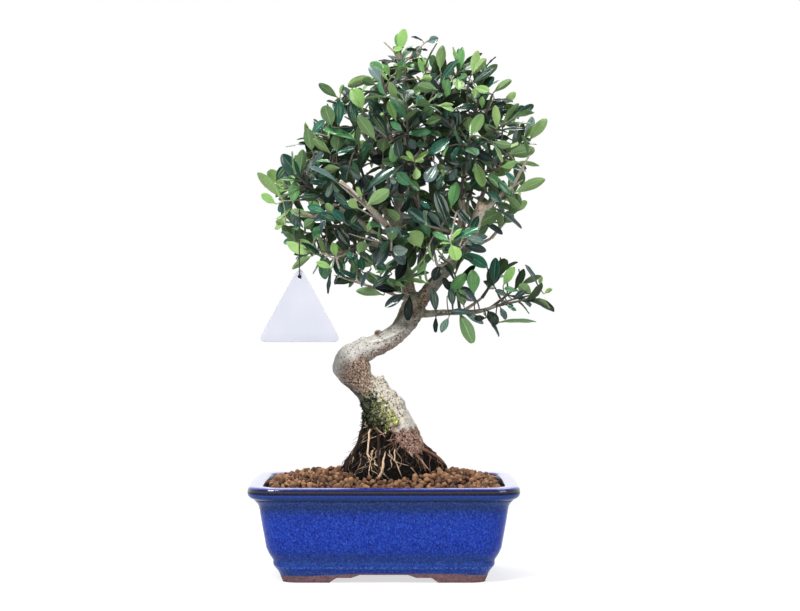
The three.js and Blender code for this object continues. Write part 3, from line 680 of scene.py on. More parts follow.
def paintPot():
    paint = Paint("glazeAndClay", Coat_Roughness=0.05, Coat_IOR=1.5, Specular_IOR_Level=0.12)
    high = paint.height()
    wander = paint.cloud(14, 3) * 3 - 1.5
    inner = high.fade(64, 72)  # the lip's bands keep to their heights
    whole = pot["bandsHigh"]
    stops = [(z / whole, colour) for z, colour in pot["bands"]]
    body = paint.colours((high + wander * (1 - inner)) / whole, *stops)
    runs = paint.cloud(1.5, 3, 0.6, stretch=(1, 1, 0.5))
    body = paint.blend((1 - runs.fade(0.36, 0.54)) * 0.6 * (1 - inner), body, pot["deepBlue"])
    drops = 1 - paint.cells(1.55, stretch=(1, 1, 0.55)).fade(0.16, 0.5)
    flecks = drops * paint.cloud(2.0, 2, 0.5, shift=(3.1, 0, 0)).fade(0.36, 0.6) * (1 - inner * 0.9)
    mottle = paint.cloud(1.5, 4, 0.62, shift=(0, 5.2, 0)).fade(0.44, 0.64) * (1 - inner * 0.8)
    body = paint.blend(mottle * 0.17, body, pot["paleBlue"])
    body = paint.blend(flecks * 0.24, body, pot["paleBlue"])
    # drops that ran to the foot, then the edges on which the glaze is thin
    beads = (1 - abs(high - 12.3).fade(0.4, 1.3)) * paint.cloud(1.7, 2).fade(0.46, 0.6)
    body = paint.blend(beads * 0.55, body, pot["paleBlue"])
    thin = (1 - abs(high + wander * 2 - 19).fade(2, 7)) * 0.5 + (1 - abs(high + wander - 61).fade(1, 5)) * 0.4
    body = paint.blend(thin * paint.cloud(1.0, 3, 0.7).fade(0.44, 0.6), body, pot["slate"])
    reach = abs(paint.node("ShaderNodeSeparateXYZ", {}, [paint.spot], "X"))
    bare = 1 - (high + (paint.cloud(9, 3) * 1.4 - 0.7) + reach.fade(30, 80) * 2).fade(7.0, 7.9)
    clay = paint.blend(paint.cloud(2.2, 5, 0.65).fade(0.3, 0.7), pot["darkClay"], pot["clay"])
    paint.set(Base_Color=paint.blend(bare, body, clay))
    paint.set(Roughness=bare * 0.6 + 0.2, Coat_Weight=(1 - bare) * (0.14 + high.fade(71.5, 74) * 0.86))
    paint.bump(runs * 0.25 * (1 - bare) + paint.cloud(0.6, 4) * bare * 0.8 + paint.cloud(22, 2) * 2.2, 0.16)
    return paint


def makePot():
    floor = pot["outside"][0][1] + pot["footWall"]
    profile = [(pot["footHeight"], floor), (0.5, floor), (0, floor - 0.5), (0, 26.8)]
    profile += pot["outside"] + pot["inside"]
    body = Shape()
    body.add(*loft([potRing(z, inset) for z, inset in profile]))
    piece = body.build("pot_glazed", [glaze], "glaze", sharp=48)
    tools = []
    for (ground, stepOut, stepIn, top), turned in ((pot["archFront"], False), (pot["archSide"], True)):
        step, high = pot["footStep"], pot["footHeight"]
        half = [(ground, -3), (ground, 0), (stepOut + 0.8, step - 0.6), (stepOut - 0.5, step)]
        half += [(stepIn + 0.8, step), (top + 0.6, high - 0.5), (top - 0.7, high)]
        side = half + [(-a, b) for a, b in reversed(half)]
        rings = []
        for far in (-120, 120):
            rings.append([(far, a, b) if turned else (a, far, b) for a, b in side])
        tools.append(loft(rings))
    for x in (-pot["drainAt"], pot["drainAt"]):
        tools.append(tube([(x, 0, 1), (x, 0, 24)], [pot["drain"]] * 2, 32))
    used = [piece]
    for points, faces in tools:
        cutter = Shape()
        cutter.add(points, faces)
        used.append(cutter.build("pot_cutter", [glaze], "glaze"))
        cut = piece.modifiers.new("cut", "BOOLEAN")
        cut.object, cut.operation, cut.solver = used[-1], "DIFFERENCE", "EXACT"
    mesh = evaluated(piece)
    for one in used:
        bpy.data.objects.remove(one)
    mesh.materials.clear()
    piece = dressed(mesh, "pot_glazed", [glaze], sharp=40)
    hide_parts("pot")
    return piece


def paintScreens():
    paint = Paint("screenMesh", Roughness=0.6)
    paint.set(Base_Color=paint.colours(paint.cloud(2, 3), (0.3, pot["screen"]), (0.8, pot["screenPale"])))
    paint.bump(paint.cloud(0.4, 3), 0.05)
    for side in ("left", "right"):
        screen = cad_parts["drain_screen_" + side]
        screen.data.materials.clear()
        screen.data.materials.append(paint.material)


glaze = paintPot()
makePot()
paintScreens()
print("pot made")


soil = {
    "edge": 72.5, "heap": 12, "floor": 17.4, "bedUnder": 1.6,
    "spacing": 4.9, "stone": (2.3, 3.9), "forms": 9, "tries": (9000, 5000), "seed": 23,
    # gapShade is the near-black painted shade seen in the gaps between the stones
    "light": (168, 130, 98), "mid": (128, 97, 76), "dark": (66, 48, 40), "gapShade": (7, 5, 5),
}
rootBall = {
    "centre": (4.5, 0), "squash": 0.88,
    "profile": [(70, 44), (79, 46), (90, 41), (98, 34), (108, 28), (119, 23), (131, 16.5), (138, 11)],
}


def soilHeight(x, y):
    edgeX, edgeY = pot["halfLength"] - 12, pot["halfWidth"] - 12
    rise = (1 - abs(x / edgeX) ** 4) * (1 - abs(y / edgeY) ** 1.6)
    return soil["edge"] + soil["heap"] * max(rise, 0)


def ballReach(x, y):  # how far out a place lies from the root ball's middle, in its own long radius
    return math.hypot(x - rootBall["centre"][0], (y - rootBall["centre"][1]) / rootBall["squash"])


def insideWall(x, y, height, spare):  # whether a place keeps clear of the pot's inner wall
    inset = 12.3 + (74 - height) / 14 * 4.3 + spare  # the wall leans in by 4.3 mm over 14
    radius = max(pot["corner"] - 0.35 * inset, 6)
    boxX, boxY = pot["halfLength"] - inset - radius, pot["halfWidth"] - inset - radius
    return math.hypot(max(abs(x) - boxX, 0), max(abs(y) - boxY, 0)) < radius


def paintSoil():
    paint = Paint("bakedClay", Roughness=0.95, Specular_IOR_Level=0.25)
    tone = paint.mark("tone")
    grain = paint.cloud(0.8, 4, 0.7)
    stops = [(0.1, soil["dark"]), (0.5, soil["mid"]), (0.9, soil["light"])]
    face = paint.colours(tone * 0.75 + grain * 0.4 - 0.08, *stops)
    # where deep is high, on the bed under the stones, the colour goes to the near-black painted shade of the
    # gaps
    paint.set(Base_Color=paint.blend(paint.mark("deep"), face, soil["gapShade"]))
    paint.bump(grain + paint.cloud(0.35, 3) * 0.5, 0.4)
    return paint


def stoneForms(draw):  # a few broken, worn shapes that all stones are cut from
    forms = []
    for _ in range(soil["forms"]):
        work = bmesh.new()
        bmesh.ops.create_icosphere(work, subdivisions=2, radius=1)  # 80 faces
        planes = [unit((draw() - 0.5, draw() - 0.5, draw() - 0.5)) for _ in range(8)]
        depths = [0.55 + 0.32 * draw() for _ in planes]
        shift = 20 * draw()
        points = []
        for vert in work.verts:
            p = tuple(vert.co)
            for plane, depth in zip(planes, depths):
                past = dot(p, plane) - depth
                if past > 0:
                    p = plus(p, plane, -0.85 * past)
            points.append(scaled(p, 1 + 0.08 * rough(p, 0.6, shift)))
        forms.append((points, [tuple(v.index for v in face.verts) for face in work.faces]))
        work.free()
    return forms


def addBed(heap):  # painted near-black as shade, it only shows as the dark gaps between the stones
    rings = []
    for inset in (17.6, 20.5, 26, 34, 44, 56, 66):
        ring = potRing(0, inset)
        rings.append([(x, y, soilHeight(x, y) - soil["bedUnder"]) for x, y, _ in ring])
    walls = []
    for inset, height in ((29, soil["floor"]), (24, 24)):
        walls.append([(x, y, height) for x, y, _ in potRing(0, inset)])
    points, faces = loft(walls + rings)
    heap.add(points, faces, marks={"tone": 0.2, "deep": 0.8})


def turnedStone(form, middle, radius, turn, spin, flat):  # a stone's points where it lies
    across = unit(cross(turn, (0.3, 0.5, 0.8)))
    other = cross(turn, across)
    c, s = math.cos(spin), math.sin(spin)
    first = plus(scaled(across, c), other, s)
    second = plus(scaled(other, c), across, -s)
    out = []
    for p in form:
        q = scaled(first, p[0] * flat[0] * radius)
        q = plus(plus(q, second, p[1] * flat[1] * radius), turn, p[2] * flat[2] * radius)
        out.append(plus(middle, q))
    return out


def makeSoil():
    draw = stream(soil["seed"])
    forms = stoneForms(draw)
    heap = Shape()
    addBed(heap)
    taken = {}
    placed = 0
    for layer, tries in enumerate(soil["tries"]):
        for _ in range(tries):
            x = (2 * draw() - 1) * pot["halfLength"]
            y = (2 * draw() - 1) * pot["halfWidth"]
            radius = mix(*soil["stone"], draw() ** 1.3)
            lift = (-0.9, 1.3)[layer] + 1.4 * (draw() - 0.5)
            tone, form = draw(), forms[int(draw() * len(forms))]
            turn = unit((draw() - 0.5, draw() - 0.5, draw() - 0.5))
            spin = 2 * math.pi * draw()
            flat = (1, 0.72 + 0.26 * draw(), 0.66 + 0.26 * draw())
            height = soilHeight(x, y) + lift
            far = ballReach(x, y)
            if not insideWall(x, y, height, radius * 0.92) or far < 41 + 2 * rough((x, y, 0), 9):
                continue
            room = soil["spacing"] * (1.0, 1.5)[layer] * radius / 3.1
            cell = (int(x // 6), int(y // 6), layer)
            around = [(cell[0] + i, cell[1] + j, layer) for i in (-1, 0, 1) for j in (-1, 0, 1)]
            if any(math.dist(p, (x, y)) < room for other in around for p in taken.get(other, [])):
                continue
            taken.setdefault(cell, []).append((x, y))
            placed += 1
            points = turnedStone(form[0], (x, y, height), radius, turn, spin, flat)
            heap.add(points, form[1], marks={"tone": tone, "deep": 0.0})
    print("stones", placed, "faces", len(heap.faces))
    piece = heap.build("soil_granules", [bakedClay], "granules", sharp=33)
    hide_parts("soil")
    return piece


bakedClay = paintSoil()
makeSoil()
print("soil laid")


trunk = {
    "sides": 28, "cell": 0.85, "smooth": 3,
    "line": [
        (1, 2, 108, 19), (-0.5, 1, 128, 17), (-3, 0, 140, 15), (-12, -1, 152, 13), (-20, -2, 160.5, 13.2),
        (-25.8, -3, 166.5, 14), (-27, -3, 172.5, 13.9), (-21, -3, 180.5, 11.4), (-10, -2, 185.5, 9.6),
        (2, -1, 190.5, 8.4), (12, 0, 198, 8.2), (19, 1, 207.5, 9.4), (23.5, 2, 217, 10), (26, 2, 226, 7),
    ],
    # start, end and the radius at both
    "knobs": [
        ((-3.5, -2, 189), (-6, -7, 197.5), (4.6, 3.2)), ((-7, -4, 157), (-0.5, -6, 161.5), (5, 1.7)),
        ((-5, -2, 151), (1.5, -3, 156.5), (7, 3.5)), ((-21, -3, 180), (-25.3, -4, 189.5), (3.2, 1.4)),
        ((2, 0, 133), (9.5, -1, 138), (10, 7)), ((-22, -3, 164), (-12, -8, 166), (9, 6)),
    ],
    # the foot of the trunk, which runs down into the root mound
    "foot": [(14, -2, 88, 22), (12.5, -1, 101, 20.5), (8.5, -1, 112, 20), (2, 0, 125, 19), (-3, 0, 139, 15.8),
             (-9, -1, 149, 13.4)],
    # x, y, z and reach: scars, where a twig was cut off the leader's front, and the worn bark round the fork
    "scars": [(-6.4, -9, 197, 4.2), (22.5, -9, 212, 3.6), (-1.5, -7, 163, 3.2)],
    "sideCut": (78.0, -10.8, 298.0, 2.8),
    "fork": (22, 2, 226, 26),
    # x, z, reach and how far out, in mm
    "bumps": [(-6, 166, 8, -4.6), (6, 153, 6, -1.6), (16, 141, 7, 1.9), (-41, 166, 8, 1.4), (9, 131, 8, -1.2),
              (-25, 190, 9, -1.7), (-12, 193, 8, -1.5)],
    "crease": [(-12, 189.5), (-2, 190.5), (8, 195), (16, 199.5)],
    # x, z and reach
    "flaky": [(-22, 162, 17), (-18, 171, 9), (-17, 153, 10)],
    "cracked": [(-8, 158, 16), (0, 142, 16), (6, 128, 14), (-16, 166, 12), (-12, 177, 8), (-4, 182, 8),
                (3, 186, 7), (12, 192, 7), (20, 199, 7), (25, 208, 7), (29, 217, 8)],
    # limbs with bare dry wood at their end, the share at which it begins and how many points stand for it
    "dry": [("leftCut", 0.45, 12), ("leader", 0.85, 8), ("rightTwig", 0.3, 14)],
    "pale": (185, 181, 175), "grey": (140, 137, 129), "green": (98, 97, 77), "brown": (136, 112, 92),
    "cream": (210, 202, 182), "rust": (88, 65, 52), "bareWood": (208, 194, 178), "pit": (38, 28, 25),
    "flake": (217, 212, 203), "twig": (158, 150, 134), "cutWood": (214, 176, 130), "cutRing": (150, 92, 52),
    "footBark": (144, 112, 98), "footPale": (206, 182, 164), "mossy": (44, 50, 34),
}
trunkCurve = Line(trunk["line"])


def radiusOn(line, share):  # the radius at a share of a line whose points bear one
    at = share * (len(line) - 1)
    i = min(int(at), len(line) - 2)
    return mix(line[i][3], line[i + 1][3], at - i)


def trunkRadius(share):
    return radiusOn(trunk["line"], share)


def paintBark():
    paint = Paint("bark", Roughness=0.85, Specular_IOR_Level=0.3)
    flaky, age, upper, cracked = (paint.mark(name) for name in ("flaky", "age", "upper", "cracked"))
    broad = paint.cloud(7, 4, 0.6)
    fine = paint.cloud(1.1, 5, 0.65)
    grain = paint.cloud(2.1, 4, 0.65, shift=(4.0, 1.0, 0))
    tone = broad * 0.5 + fine * 0.5
    old = paint.colours(tone, (0.32, trunk["grey"]), (0.5, trunk["pale"]), (0.7, trunk["flake"]))
    green = paint.colours(tone, (0.4, trunk["green"]), (0.53, trunk["grey"]), (0.64, trunk["pale"]))
    old = paint.blend(upper, old, green)
    # rough, worn bark
    mask = (flaky + (broad - 0.5) * 0.9 + (grain - 0.5) * 0.5).fade(0.15, 0.85)
    crumbs = paint.cloud(1.35, 4, 0.65, shift=(0, 7.0, 2.0))
    crust = paint.blend(crumbs.fade(0.38, 0.55), trunk["footPale"], trunk["brown"])
    crust = paint.blend(paint.cloud(1.3, 4).fade(0.5, 0.66) * 0.75, crust, trunk["rust"])
    skin = paint.blend(cracked * 0.5 * (1 - paint.height().fade(162, 178)), old, trunk["cream"])
    skin = paint.blend(mask * 0.9, skin, crust)
    # short cracks and the stain along them
    veins = paint.cloud(4.4, 3, 0.6, stretch=(1, 1, 1.5))
    lines = (1 - abs(veins - 0.5).fade(0.003, 0.028)) * paint.cloud(2.4, 2).fade(0.49, 0.57)
    lines = lines * (cracked * 1.3 + mask * 0.4)
    stain = (1 - abs(veins - 0.5).fade(0.0, 0.07)) * cracked * 0.35
    skin = paint.blend(stain, skin, trunk["brown"])
    pits = (1 - paint.cells(1.9).fade(0.18, 0.4)) * paint.cloud(2.6, 2).fade(0.38, 0.5)
    dots = (1 - paint.cells(2.1).fade(0.12, 0.3)) * paint.cloud(5, 2).fade(0.42, 0.52) * (0.3 + 0.7 * age)
    holes = pits * mask + dots * 0.8 * (1 - mask)
    skin = paint.blend(holes * 0.9, skin, trunk["pit"])
    skin = paint.blend(lines, skin, trunk["pit"])
    # young bark on the limbs, dry wood at the stubs and the rings of the cuts
    tone = fine * 0.6 + broad * 0.4
    young = paint.colours(tone, (0.3, trunk["green"]), (0.5, trunk["twig"]), (0.75, trunk["pale"]))
    skin = paint.blend(age, young, skin)
    dry = paint.colours(fine, (0.3, trunk["brown"]), (0.46, trunk["bareWood"]), (0.7, trunk["flake"]))
    skin = paint.blend(paint.mark("bare") * 0.85, skin, dry)
    cut = paint.mark("cut")
    values = {"Vector": paint.spot, "Scale": 0.5, "Distortion": 3.0}
    rings = paint.node("ShaderNodeTexWave", {"wave_type": "RINGS"}, values)
    face = paint.blend(rings, trunk["cutWood"], trunk["flake"])
    skin = paint.blend(cut, skin, paint.blend(cut.fade(0.6, 0.95), trunk["cutRing"], face))
    skin = paint.blend(paint.mark("crease").fade(0.3, 0.8) * 0.6, skin, trunk["flake"])
    scar = paint.mark("scar")
    wound = paint.blend(fine.fade(0.4, 0.6), trunk["rust"], trunk["brown"])
    skin = paint.blend((scar + (grain - 0.5) * 0.6).fade(0.1, 0.45) * 0.85, skin, wound)
    skin = paint.blend(scar.fade(0.35, 0.8) * 0.85, skin, trunk["pit"])
    # the foot's reddish bark
    low = (paint.mark("low") + (broad - 0.5) * 0.7 + (grain - 0.5) * 1.1).fade(0.1, 0.9)
    foot = paint.blend(crumbs.fade(0.5, 0.6) * 0.8, trunk["footBark"], trunk["footPale"])
    foot = paint.blend(paint.cloud(1.3, 4, 0.6, stretch=(1, 1, 0.8)).fade(0.4, 0.48), trunk["pit"], foot)
    skin = paint.blend(low, skin, foot)
    moist = paint.mark("damp") + (fine - 0.5) * 0.9 + (grain - 0.5) * 0.8
    skin = paint.blend(moist.fade(0.4, 0.8) * 0.8, skin, trunk["mossy"])
    paint.set(Base_Color=skin)
    height = broad * 1.2 + fine * 0.35 + mask * grain * 1.2 + low * grain * 2.0
    paint.bump(height - holes * 1.3 - lines * 1.6, 0.8)
    return paint


def barkLumps(spot, radius, flaky, seed):  # how far the bark stands out from its tube, in mm
    big = rough(spot, 1.1 * radius + 3, seed) * 0.055 * radius
    mid = rough(spot, 3.4, seed + 5) * (0.16 + 0.85 * flaky)
    small = rough(spot, 1.5, seed + 9) * (0.05 + 0.4 * flaky)
    return big + (mid + small) * min(radius / 6, 1)


def swayed(limb):  # a limb's places and radii, a little off its drawn course
    count = max(10, int(limb["curve"].length() / 4))
    thick = limb["radius"][0]
    wander = stream(int(thick * 100 + limb["line"][0][0] * 7 + 900))
    first, second = wander() * 20, wander() * 20
    spots, radii = [], []
    for t in shares(count):
        spot = limb["curve"].at(t)
        free = math.sin(math.pi * t) * min(0.9, limb["curve"].length() / 90)
        sways = ((26, first, 2), (26, second, 2), (22, first + 3, 1.6))  # grain, seed and reach in x, y and z
        spots.append(plus(spot, [rough(spot, grain, seed) * reach * free for grain, seed, reach in sways]))
        collar = 1 + 0.35 * (1 - fade(t, 0, 0.12))  # it widens where it leaves its parent
        radii.append(limbRadius(limb, t) * (collar if thick < 6 else 1))
    return spots, radii


def growWood():  # tubes for all the wood, and the points of their middle lines with radius and age there
    soup, spine = Shape(), []

    def grow(spots, radii, sides, ages=None, first=0):
        soup.add(*tube(spots, radii, sides))
        spine.extend(list(zip(spots, radii, ages or [1.0] * len(spots)))[first:])

    places = shares(90)
    grow([trunkCurve.at(t) for t in places], [trunkRadius(t) for t in places], trunk["sides"])
    foot, places = Line(trunk["foot"]), shares(20)
    grow([foot.at(t) for t in places], [radiusOn(trunk["foot"], t) for t in places], trunk["sides"])
    for start, end, radii in trunk["knobs"]:
        places = shares(4)
        grow([toward(start, end, t) for t in places], [mix(*radii, t) for t in places], 14, first=2)
    for limb in limbs.values():
        spots, radii = swayed(limb)
        grow(spots, radii, 16 if limb["radius"][0] > 3 else 12, [fade(r, 1.6, 4.6) for r in radii])
    return soup, spine


def melted(soup):  # the tubes run together into one skin
    raw = soup.build("tree_soup", [bark], "bark")
    for kind, settings in (
        ("REMESH", {"mode": "VOXEL", "voxel_size": trunk["cell"] / 1000, "adaptivity": 0}),
        ("SMOOTH", {"factor": 0.5, "iterations": trunk["smooth"]}),
    ):
        step = raw.modifiers.new(kind, kind)
        for key, value in settings.items():
            setattr(step, key, value)
    mesh = evaluated(raw)
    bpy.data.objects.remove(raw)
    return mesh


def patchAt(spot, patches):  # 1 at the middle of a patch, 0 at its edge
    return max(1 - math.hypot(spot[0] - x, spot[2] - z) / reach for x, z, reach in patches)


def creaseAt(spot):  # 1 on the crease along the bend
    crease = 0.0
    for (x0, z0), (x1, z1) in zip(trunk["crease"], trunk["crease"][1:]) if spot[1] < -2 else ():
        square = (x1 - x0) ** 2 + (z1 - z0) ** 2
        t = min(max(((spot[0] - x0) * (x1 - x0) + (spot[2] - z0) * (z1 - z0)) / square, 0), 1)
        crease = max(crease, 1 - math.hypot(spot[0] - mix(x0, x1, t), spot[2] - mix(z0, z1, t)) / 1.8)
    return crease


def cutAt(spot, cuts):  # 1 on a sawn face
    cut = 0.0
    for end, way, reach in cuts:
        off = Vector(spot) - end
        if off.length < reach * 1.5 and off.dot(Vector(way)) > -0.7:
            cut = max(cut, fade(1.25 - off.length / reach, 0, 0.5))
    return cut


def barkAt(spot, radius, age, cuts, dry):  # the numbers to paint at a place, and how far the bark stands out
    x, _, z = spot
    flaky = fade(patchAt(spot, trunk["flaky"]), -0.3, 0.8) * (1 if z < 200 else 0)
    cracked = fade(patchAt(spot, trunk["cracked"]), -0.1, 0.4)
    flaky = max(flaky, 0.6 * fade(1 - math.dist(spot, trunk["fork"][:3]) / trunk["fork"][3], 0, 0.6))
    under = fade(x * 0.5 - (z - 190), -2, 9) if 176 < z < 212 and x > -18 else 0  # the bend's underside
    flaky = max(flaky, 0.62 * under * (1 if radius > 6 else 0))
    cut, crease = cutAt(spot, cuts), creaseAt(spot)
    damp = fade(1 - x + 5 * rough(spot, 6), -3, 7) * fade(z + 0.6 * x, 141, 131) if radius > 10 else 0
    scar = max(1 - math.dist(spot, scar[:3]) / scar[3] for scar in trunk["scars"])
    low = fade(121.5 - z + 6 * rough(spot, 5), -3, 6)
    lump = 0.0
    if cut < 0.5:
        lump = barkLumps(spot, min(radius, 15), max(flaky, 1.3 * low, 0.5 * cracked), 3.7)
    for bumpX, bumpZ, reach, out in trunk["bumps"] if z < 205 else ():
        lump += out * fade(1 - math.hypot(x - bumpX, z - bumpZ) / reach, 0, 0.9)
    marks = {
        "flaky": flaky, "cracked": cracked, "age": age, "upper": fade(z, 192, 206), "cut": cut, "damp": damp,
        "scar": max(scar, 0), "low": low, "crease": crease,
        "bare": fade(min(math.dist(spot, p) for p in dry), 9, 5) if z > 240 else 0.0,
    }
    return marks, lump + 0.5 * crease


def makeTree():
    soup, spine = growWood()
    mesh = melted(soup)
    near = findable([spot for spot, _, _ in spine])
    cuts = []
    for limb in limbs.values():
        if limb.get("pruned"):
            cuts.append((Vector(limb["line"][-1]), limb["curve"].way(1), limb["radius"][1]))
    cuts.append((Vector(trunk["sideCut"][:3]), (0, -1, 0), trunk["sideCut"][3]))
    dry = [limbs[name]["curve"].at(t) for name, begun, count in trunk["dry"] for t in shares(count, begun, 1)]
    marks, places = {}, []
    for vert, normal in zip(mesh.vertices, [tuple(n.vector) for n in mesh.vertex_normals]):
        spot = measured(vert.co)
        radius, age = spine[near.find(spot)[1]][1:]
        here, lump = barkAt(spot, radius, age, cuts, dry)
        places.append(place(plus(spot, normal, lump)))
        for name, value in here.items():
            marks.setdefault(name, []).append(value)
    mesh.vertices.foreach_set("co", [v for spot in places for v in spot])
    for name, values in marks.items():
        mesh.attributes.new(name, "FLOAT", "POINT").data.foreach_set("value", values)
    mesh.materials.clear()
    piece = dressed(mesh, "trunk_and_limbs", [bark])
    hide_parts("tree")
    print("bark faces", len(mesh.polygons))
    return piece


bark = paintBark()
treePiece = makeTree()
print("trunk and limbs grown")


mound = {
    "around": 150, "up": 70, "crumb": 1.5,
    "peat": (3, 3, 3), "peatLight": (18, 15, 14), "bareRoot": (218, 190, 160), "root": (62, 46, 38),
    "darkRoot": (9, 7, 6), "redBark": (132, 98, 82),
    "thick": 6, "thin": 420, "hairs": 170, "seed": 5,
    "hair": (0.22, 0.2, 0.17, 0.13, 0.08),  # radii from its root to its end
    # roots that stand out in front: places x, z down each, the radius at both ends, how pale and how red
    "front": [
        ([(-10.9, 118.7), (-12.3, 108), (-12.1, 96.2)], (1.15, 0.95), 1.0, 0.0),
        ([(-12.1, 98), (-10.6, 92), (-11.6, 87), (-11.3, 81)], (0.7, 0.45), 0.95, 0.0),
        ([(-8.9, 102), (-9.7, 95.4)], (0.8, 0.5), 0.8, 0.0),
        ([(1.2, 101), (-0.4, 94), (-1.5, 86.9), (-4.6, 80)], (1.0, 1.35), 0.9, 0.0),
        ([(8.5, 104.3), (8.2, 98), (9.6, 92), (13.8, 82)], (0.8, 0.45), 0.85, 0.1),
        ([(2.5, 99.6), (9.8, 93.6), (19.8, 90.3)], (0.55, 0.4), 0.8, 0.0),
        ([(17.8, 103.6), (21, 98), (23.8, 95.6)], (0.6, 0.45), 0.9, 0.0),
        ([(19.8, 89.7), (24.6, 84.5), (25.1, 81), (23.1, 76)], (0.6, 0.5), 0.8, 0.3),
        ([(27.1, 95.6), (31, 91), (36.4, 85)], (1.0, 0.5), 0.75, 0.0),
        ([(36.4, 97.6), (35.6, 90), (37.1, 79)], (0.7, 0.5), 0.35, 0.4),
        ([(19, 107), (28, 102.5), (38.5, 97), (50, 87)], (2.6, 1.1), 0.45, 0.85),
        ([(-10.1, 116.9), (-18, 111), (-26.7, 104.3)], (0.6, 0.5), 0.6, 0.0),
        ([(-12.2, 113.6), (-24, 102), (-33.4, 93.6)], (0.7, 0.5), 0.55, 0.0),
        ([(-6.8, 120.2), (-2, 116), (1.5, 112)], (0.9, 0.6), 0.7, 0.5),
        ([(1.2, 109.5), (8, 110.8), (14.5, 110.3)], (0.6, 0.45), 0.6, 0.3),
        ([(9, 117), (5, 112), (7.5, 106), (5, 101)], (0.6, 0.4), 0.5, 0.5),
        ([(14, 108), (10, 101), (14, 95), (11, 88)], (0.5, 0.35), 0.6, 0.2),
        ([(-28, 100), (-24, 96), (-26, 90)], (0.5, 0.4), 0.7, 0.0),
        ([(-20, 101), (-18, 94), (-21, 87)], (0.45, 0.35), 0.6, 0.0),
    ],
}


def moundRadius(height):
    profile = rootBall["profile"]
    height = min(max(height, profile[0][0]), profile[-1][0])
    for (z0, r0), (z1, r1) in zip(profile, profile[1:]):
        if height <= z1:
            return mix(r0, r1, (height - z0) / (z1 - z0))
    return profile[-1][1]


def moundPoint(turn, height, lift=0.0):
    x, y = rootBall["centre"]
    lean = -3.5 * fade(height, 100, 138)  # its top leans with the trunk
    swell = 1 + 0.07 * math.sin(3 * turn + 1) + 0.05 * math.sin(5 * turn + 2.3)
    reach = (moundRadius(height) - 1.2) * swell + lift
    # the trunk's foot shows on this side
    reach -= 6 * max(math.cos(turn + 0.45), 0) ** 2 * fade(height, 96, 110)
    return (x + lean + reach * math.cos(turn), y + reach * rootBall["squash"] * math.sin(turn), height)


def paintPeat():
    paint = Paint("peat", Roughness=0.96, Specular_IOR_Level=0.2)
    grain = paint.cloud(1.6, 5, 0.7)
    paint.set(Base_Color=paint.colours(grain, (0.4, mound["peat"]), (0.72, mound["peatLight"])))
    paint.bump(grain, 0.9)
    return paint


def paintRoots():
    paint = Paint("rootSkin", Roughness=0.88, Specular_IOR_Level=0.3)
    tone = paint.mark("tone") + paint.cloud(3.2, 3) * 0.4 - 0.2
    skin = paint.colours(tone, (0.0, mound["darkRoot"]), (0.45, mound["root"]), (0.95, mound["bareRoot"]))
    dirt = paint.cloud(1.4, 4, 0.7).fade(0.5, 0.66) * paint.mark("dirt")
    skin = paint.blend(paint.mark("red"), skin, mound["redBark"])
    paint.set(Base_Color=paint.blend(dirt * 0.8, skin, mound["peat"]))
    paint.bump(paint.cloud(0.9, 4), 0.5)
    return paint


def makeMound():
    core = Shape()
    rings = []
    for height in shares(mound["up"], 70, 137):
        ring = []
        for k in range(mound["around"]):
            turn = 2 * math.pi * k / mound["around"]
            spot = moundPoint(turn, height)
            lift = mound["crumb"] * (1.1 * rough(spot, 4.2, 2) + 0.6 * rough(spot, 1.9, 7))
            ring.append(moundPoint(turn, height, lift))
        rings.append(ring)
    core.add(*loft(rings))
    return core.build("root_mound", [peat], "bark")


def onMoundFront(x, height, lift):  # the place on the mound's front with the given x
    low, high = -math.pi, 0.0
    for _ in range(24):
        middle = 0.5 * (low + high)
        low, high = (middle, high) if moundPoint(middle, height)[0] < x else (low, middle)
    return moundPoint(low, height, lift)


def addFrontRoots(tangle, draw):  # those that stand out, each along its own places
    for places, radii, pale, red in mound["front"]:
        line = Line([(x, 0, z) for x, z in places])
        steps = max(6, int(line.length() / 1.5))
        spots, sizes, seed = [], [], 40 * draw()
        for t in shares(steps):
            x, _, z = line.at(t)
            sway = rough((t * line.length() / 4, 0, 0), 1, seed)
            bob = 0.8 + 0.7 * rough((t * line.length() / 5, 3, 0), 1, seed)
            bob = bob - 1.8 * (1 - fade(t, 0, 0.12)) - 1.4 * fade(t, 0.88, 1)  # its ends sink in
            spots.append(onMoundFront(x + 0.7 * sway, z, bob + 0.5 * radii[0]))
            sizes.append(0.84 * mix(*radii, t) * (1 + 0.45 * rough((t * steps / 3, 5, 0), 1, seed)))
        points, faces = tube(spots, sizes, 8)
        tangle.add(points, faces, marks={"tone": pale, "red": red, "dirt": 0.75})


def addRoot(tangle, draw, turn, start, end, radii, tone, lift, slant, wander, sides, red):
    spots, sizes = [], []
    steps = max(6, int((start - end) / 2.6))
    drift, seed = turn, 30 * draw()
    for i in range(steps + 1):
        t = i / steps
        height = mix(start, end, t)
        push = slant * 0.03 + wander * rough((t * 9, 0, 0), 1, seed)
        drift += push * (30 / moundRadius(height)) / 2.2
        bob = lift * (0.5 + 0.9 * rough((t * 7, 3, 0), 1, seed + 4))
        bob = bob - 1.6 * fade(t, 0.86, 1) - 2.2 * (1 - fade(t, 0, 0.1))
        height += 0.8 * rough((t * 8, 8, 0), 1, seed)
        spots.append(moundPoint(drift, height, bob + radii[0] * 0.5))
        sizes.append(mix(*radii, t) * (1 + 0.16 * rough((t * 14, 5, 0), 1, seed)))
    points, faces = tube(spots, sizes, sides)
    tangle.add(points, faces, marks={"tone": tone, "red": red, "dirt": 1.0})


